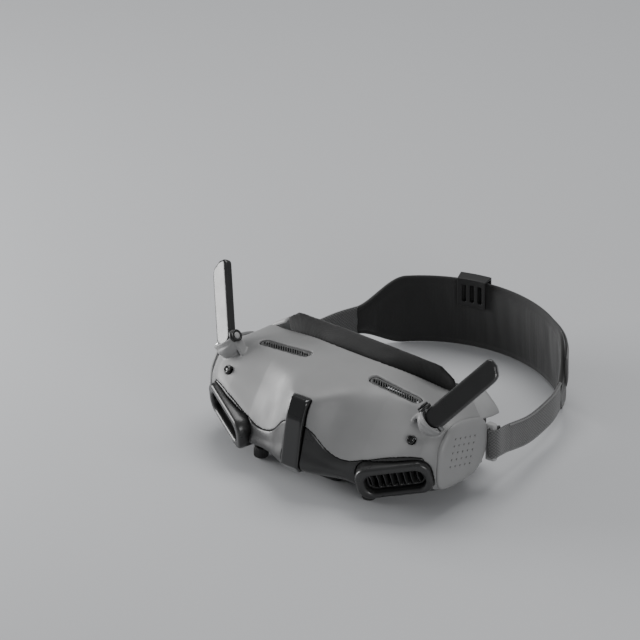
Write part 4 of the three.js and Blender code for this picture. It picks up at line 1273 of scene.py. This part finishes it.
def strap_pair():
    line = side_strap()
    strap, width, length = ribbon("strap", line[:, :2], line[:, 2:], STRAP_THICK - 0.2, (1.0, 34))
    outer = line[6 * len(FOLD_LINE):]      # past the fold
    bead = hem_line("hem", outer[:, :2], outer[:, 3], (STRAP_THICK - 0.2) / 2, 0.6)
    straps = finished_pair(strap, "strap", WEBBING, node="side_strap_{}")
    hems = finished_pair(bead, "strap_hem", WEBBING_EDGE)


TAIL_HEIGHTS = (22, 40)
TAIL_THICK = 1.2


def strap_tail():
    """The strap's loose end along the outside of the pad, which stops short of the adjuster."""
    turns = np.linspace(30, 90, 61)
    lift = PAD_THICK / 2 + 1 + 0.25 * np.sin(np.radians(turns * 9)) * smoothstep(90 - turns, 2, 20)
    path = np.stack([on_strap_arc(a, o) for a, o in zip(turns, lift)])
    heights = [TAIL_HEIGHTS] * len(path)
    tail, width, length = ribbon("tail", path, heights, TAIL_THICK)
    finished(tail, "loose_end", WEBBING, nodes=["strap_tail"])


strap_pair()
strap_tail()


# ---------------------------------------------------------------- trim round the strap's ends
WING_ROWS = (
    (57.4, (77.3, 41), (72.6, 49.9), (62, 57.4)),
    (59.7, (77.6, 41.5), (73, 50.5), (62, 58.5)),
    (66, (76.4, 39), (72.4, 49), (61, 58)),
    (73, (75, 36.5), (71.8, 45.5), (63, 54.5)),
    (78, (73.8, 35), (72, 40), (67.5, 45.5)),
    (80.5, (73.3, 34.4), (73, 35.6), (72.2, 37.4)),
)


def side_wing():
    """The pale fairing behind a side panel: a curved sheet with a rounded end."""
    rows = np.array([[(x, y, z) for x, z in edges] for y, *edges in WING_ROWS], float)
    fine = np.stack([smooth_line(rows[:, i], 6) for i in range(3)], axis=1)
    rings = []
    for row_points in fine:
        outside = smooth_line(row_points, 6)
        inside = outside[::-1] - (1.6, 0, 1.2)
        rings.append(np.concatenate([outside, inside]))
    wing = soften(loft("wing", np.array(rings)), 0.42, 6)
    finished_pair(wing, "rear_fairing", LIGHT_PLASTIC, node="side_wing_{}")


def strap_bracket():
    """The pale loop whose outer upright carries the strap."""
    nose = arc(84.4, BRACKET_Y - 0.6, 1.9, -90, 90, 12)
    plan = [(80.2, 58.1), (82, 58.1), *nose, (82, BRACKET_Y + 1.3), (80.2, BRACKET_Y + 1.3)]
    loop = slab("loop", "z", plan, 16.5, 40, 0.9)
    cut(loop, box("slot", 81.8, 83.2, 50, 70, 19, 37.5), box("behind", 70, 81.9, 59.6, 70, 19, 37.5))
    soften(loop, 0.3, 3)
    finished_pair(loop, "strap_loop", LIGHT_PLASTIC, node="strap_bracket_{}")


def arc_wall(angles, offsets, z0, z1):
    turns = np.linspace(*angles, 9)
    inner = [on_strap_arc(a, offsets[0]) for a in turns]
    outer = [on_strap_arc(a, offsets[1]) for a in turns[::-1]]
    return slab("wall", "z", inner + outer, z0, z1)


def adjuster():
    """The clip that hangs over the pad's top edge, with three ribs between slots inside."""
    start, end = ADJUSTER_ANGLES
    clear, top = PAD_THICK / 2 + 0.5, PAD_HEIGHT + 1.8
    clip = arc_wall((start, end), (-clear - 1.6, -clear), 28, top)
    bridge = arc_wall((start, end), (-clear - 1.6, clear + 1.4), PAD_HEIGHT + 0.5, top)
    join(clip, arc_wall((start, end), (clear, clear + 1.4), 30, top), bridge)
    slots = []
    for i in range(3):
        left = start + 1.8 * (1 + 2 * i)
        slots.append(arc_wall((left, left + 1.8), (-clear - 3.4, -clear + 0.3), 31, PAD_HEIGHT - 2))
    cut(clip, *slots)
    soften(clip, 0.3, 4)
    finished(clip, "pad_clip", CLIP_BLACK, "adjuster", ["strap_adjuster"])


# ---------------------------------------------------------------- eyepieces and their knobs
def barrel():
    """A tube with a ribbed grip outside, a seat for the lens and a fine step at its mouth."""
    front, back = BARREL_DEPTH
    bore = BARREL_RADIUS - 2.2
    full, groove = BARREL_RADIUS, BARREL_RADIUS - 0.35
    outside = [(full - 0.4, front), (full, front + 0.4)]
    for rib in np.arange(front + 4, back - 5, 1.4):
        outside += [(full, rib), (groove, rib + 0.2), (groove, rib + 0.7), (full, rib + 0.9)]
    outside += [(full, back - 0.6), (full - 0.5, back)]
    mouth = [(bore + 0.6, back), (bore + 0.2, back - 0.4), (bore, back - 1.2)]
    seat = [(bore, back - 7.5), (11.4, back - 7.5), (11.4, back - 9), (bore, back - 9), (bore, front)]
    tube = turned("tube", "y", outside + mouth + seat, (EYE_X, EYE_Z), 96)
    finished_pair(tube, "eye_tube", BLACK_PLASTIC, "barrel_{}", "lens_barrel_{}")
    edge = 39.8
    crown = [(12.5 * (1 - t), edge + 2.4 + 2.6 * (1 - (1 - t) ** 2)) for t in np.linspace(0, 0.98, 14)]
    lens = turned("lens", "y", [(0, edge), (12.5, edge), *crown], (EYE_X, EYE_Z), 96)
    finished_pair(lens, "eye_lens", GLASS, "barrel_{}", "eyepiece_lens_{}")


def knob():
    """A knurled wheel under the shell on a shaft that turns in the carriage."""
    sides = 168
    turns = np.linspace(0, math.tau, sides, endpoint=False)
    knurl = 0.5 + 0.5 * np.cos(turns * 28)
    # each row is (radius, height, how deep the knurling bites)
    profile = [(0.01, 0.8, 0), (3.0, 0.8, 0), (3.6, 0.95, 0.3), (4.1, 1.4, 0.9), (KNOB_RADIUS, 1.9, 1),
               (KNOB_RADIUS, 6.6, 1), (3.9, 7.3, 0.6), (3.4, 7.8, 0), (1.6, 8.2, 0), (1.6, 17, 0),
               (2.8, 17, 0), (2.8, 18, 0), (0.01, 18, 0)]
    rings = []
    for radius, level, share in profile:
        reach = radius - 0.3 * share * knurl
        rings.append(np.stack([KNOB_X + reach * np.cos(turns), KNOB_Y + reach * np.sin(turns),
                               np.full(sides, level)], axis=1))
    wheel = loft("wheel", np.array(rings))
    finished_pair(wheel, "dioptre_wheel", BLACK_PLASTIC, "knob_{}", "dioptre_knob_{}")


def face_plate():
    """The thin frame that closes the rear of the shells round the two eye openings."""
    right = [(16, 5.5), (40, 8.5), (64, 11.5), (73, 18), (74, 32), (72, 41), (58, 46.5), (40, 51.5), (24, 54)]
    plate = common(face_wall("plate", GAP, 3.3, 0, 76), slab("outline", "y", both_ways(right), *THROUGH_REAR))
    eye = slab("eye", "y", round_rect(41, 35, 17, EYE_X, EYE_Z, 12), *THROUGH_REAR)
    cut(plate, *both(eye), nose_notch(12, 14))
    soften(plate, SHELL_VOXEL, 3)
    finished(plate, "eye_plate", CHARCOAL, nodes=["face_frame"])


side_wing()
strap_bracket()
adjuster()
barrel()
knob()
face_plate()


# ---------------------------------------------------------------- CAD nodes that stay in view
def paint_frame():
    """Gives each CAD node that still shows its own procedural material."""
    plain = {
        "guide_rod": STEEL, "hinge_pin": STEEL, "housing_screw": STEEL, "heat_sink": ALUMINIUM,
        "main_board": BOARD, "fan": BLACK_PLASTIC, "display_module": SCREEN, "power_inlet": STEEL,
        "card_slot": STEEL, "audio_jack": BLACK_PLASTIC, "link_button": BLACK_PLASTIC,
    }
    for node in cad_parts:
        obj = bpy.data.objects.get(node)
        fitting = [material for start, material in plain.items() if node.startswith(start)]
        obj.data.materials.clear()
        obj.data.materials.append(fitting[0] if fitting else CHARCOAL)


def add_floor():
    size, level = 3.0, CAD_BOX[0][2]
    mesh = bpy.data.meshes.new("floor")
    corners = [(-size, -size, level), (size, -size, level), (size, size, level), (-size, size, level)]
    mesh.from_pydata(corners, [], [(0, 1, 2, 3)])
    floor = bpy.data.objects.new("floor", mesh)
    floor.data.materials.append(floor_finish("pale_floor"))
    bpy.context.collection.objects.link(floor)


paint_frame()
add_floor()
add_camera()
add_studio()
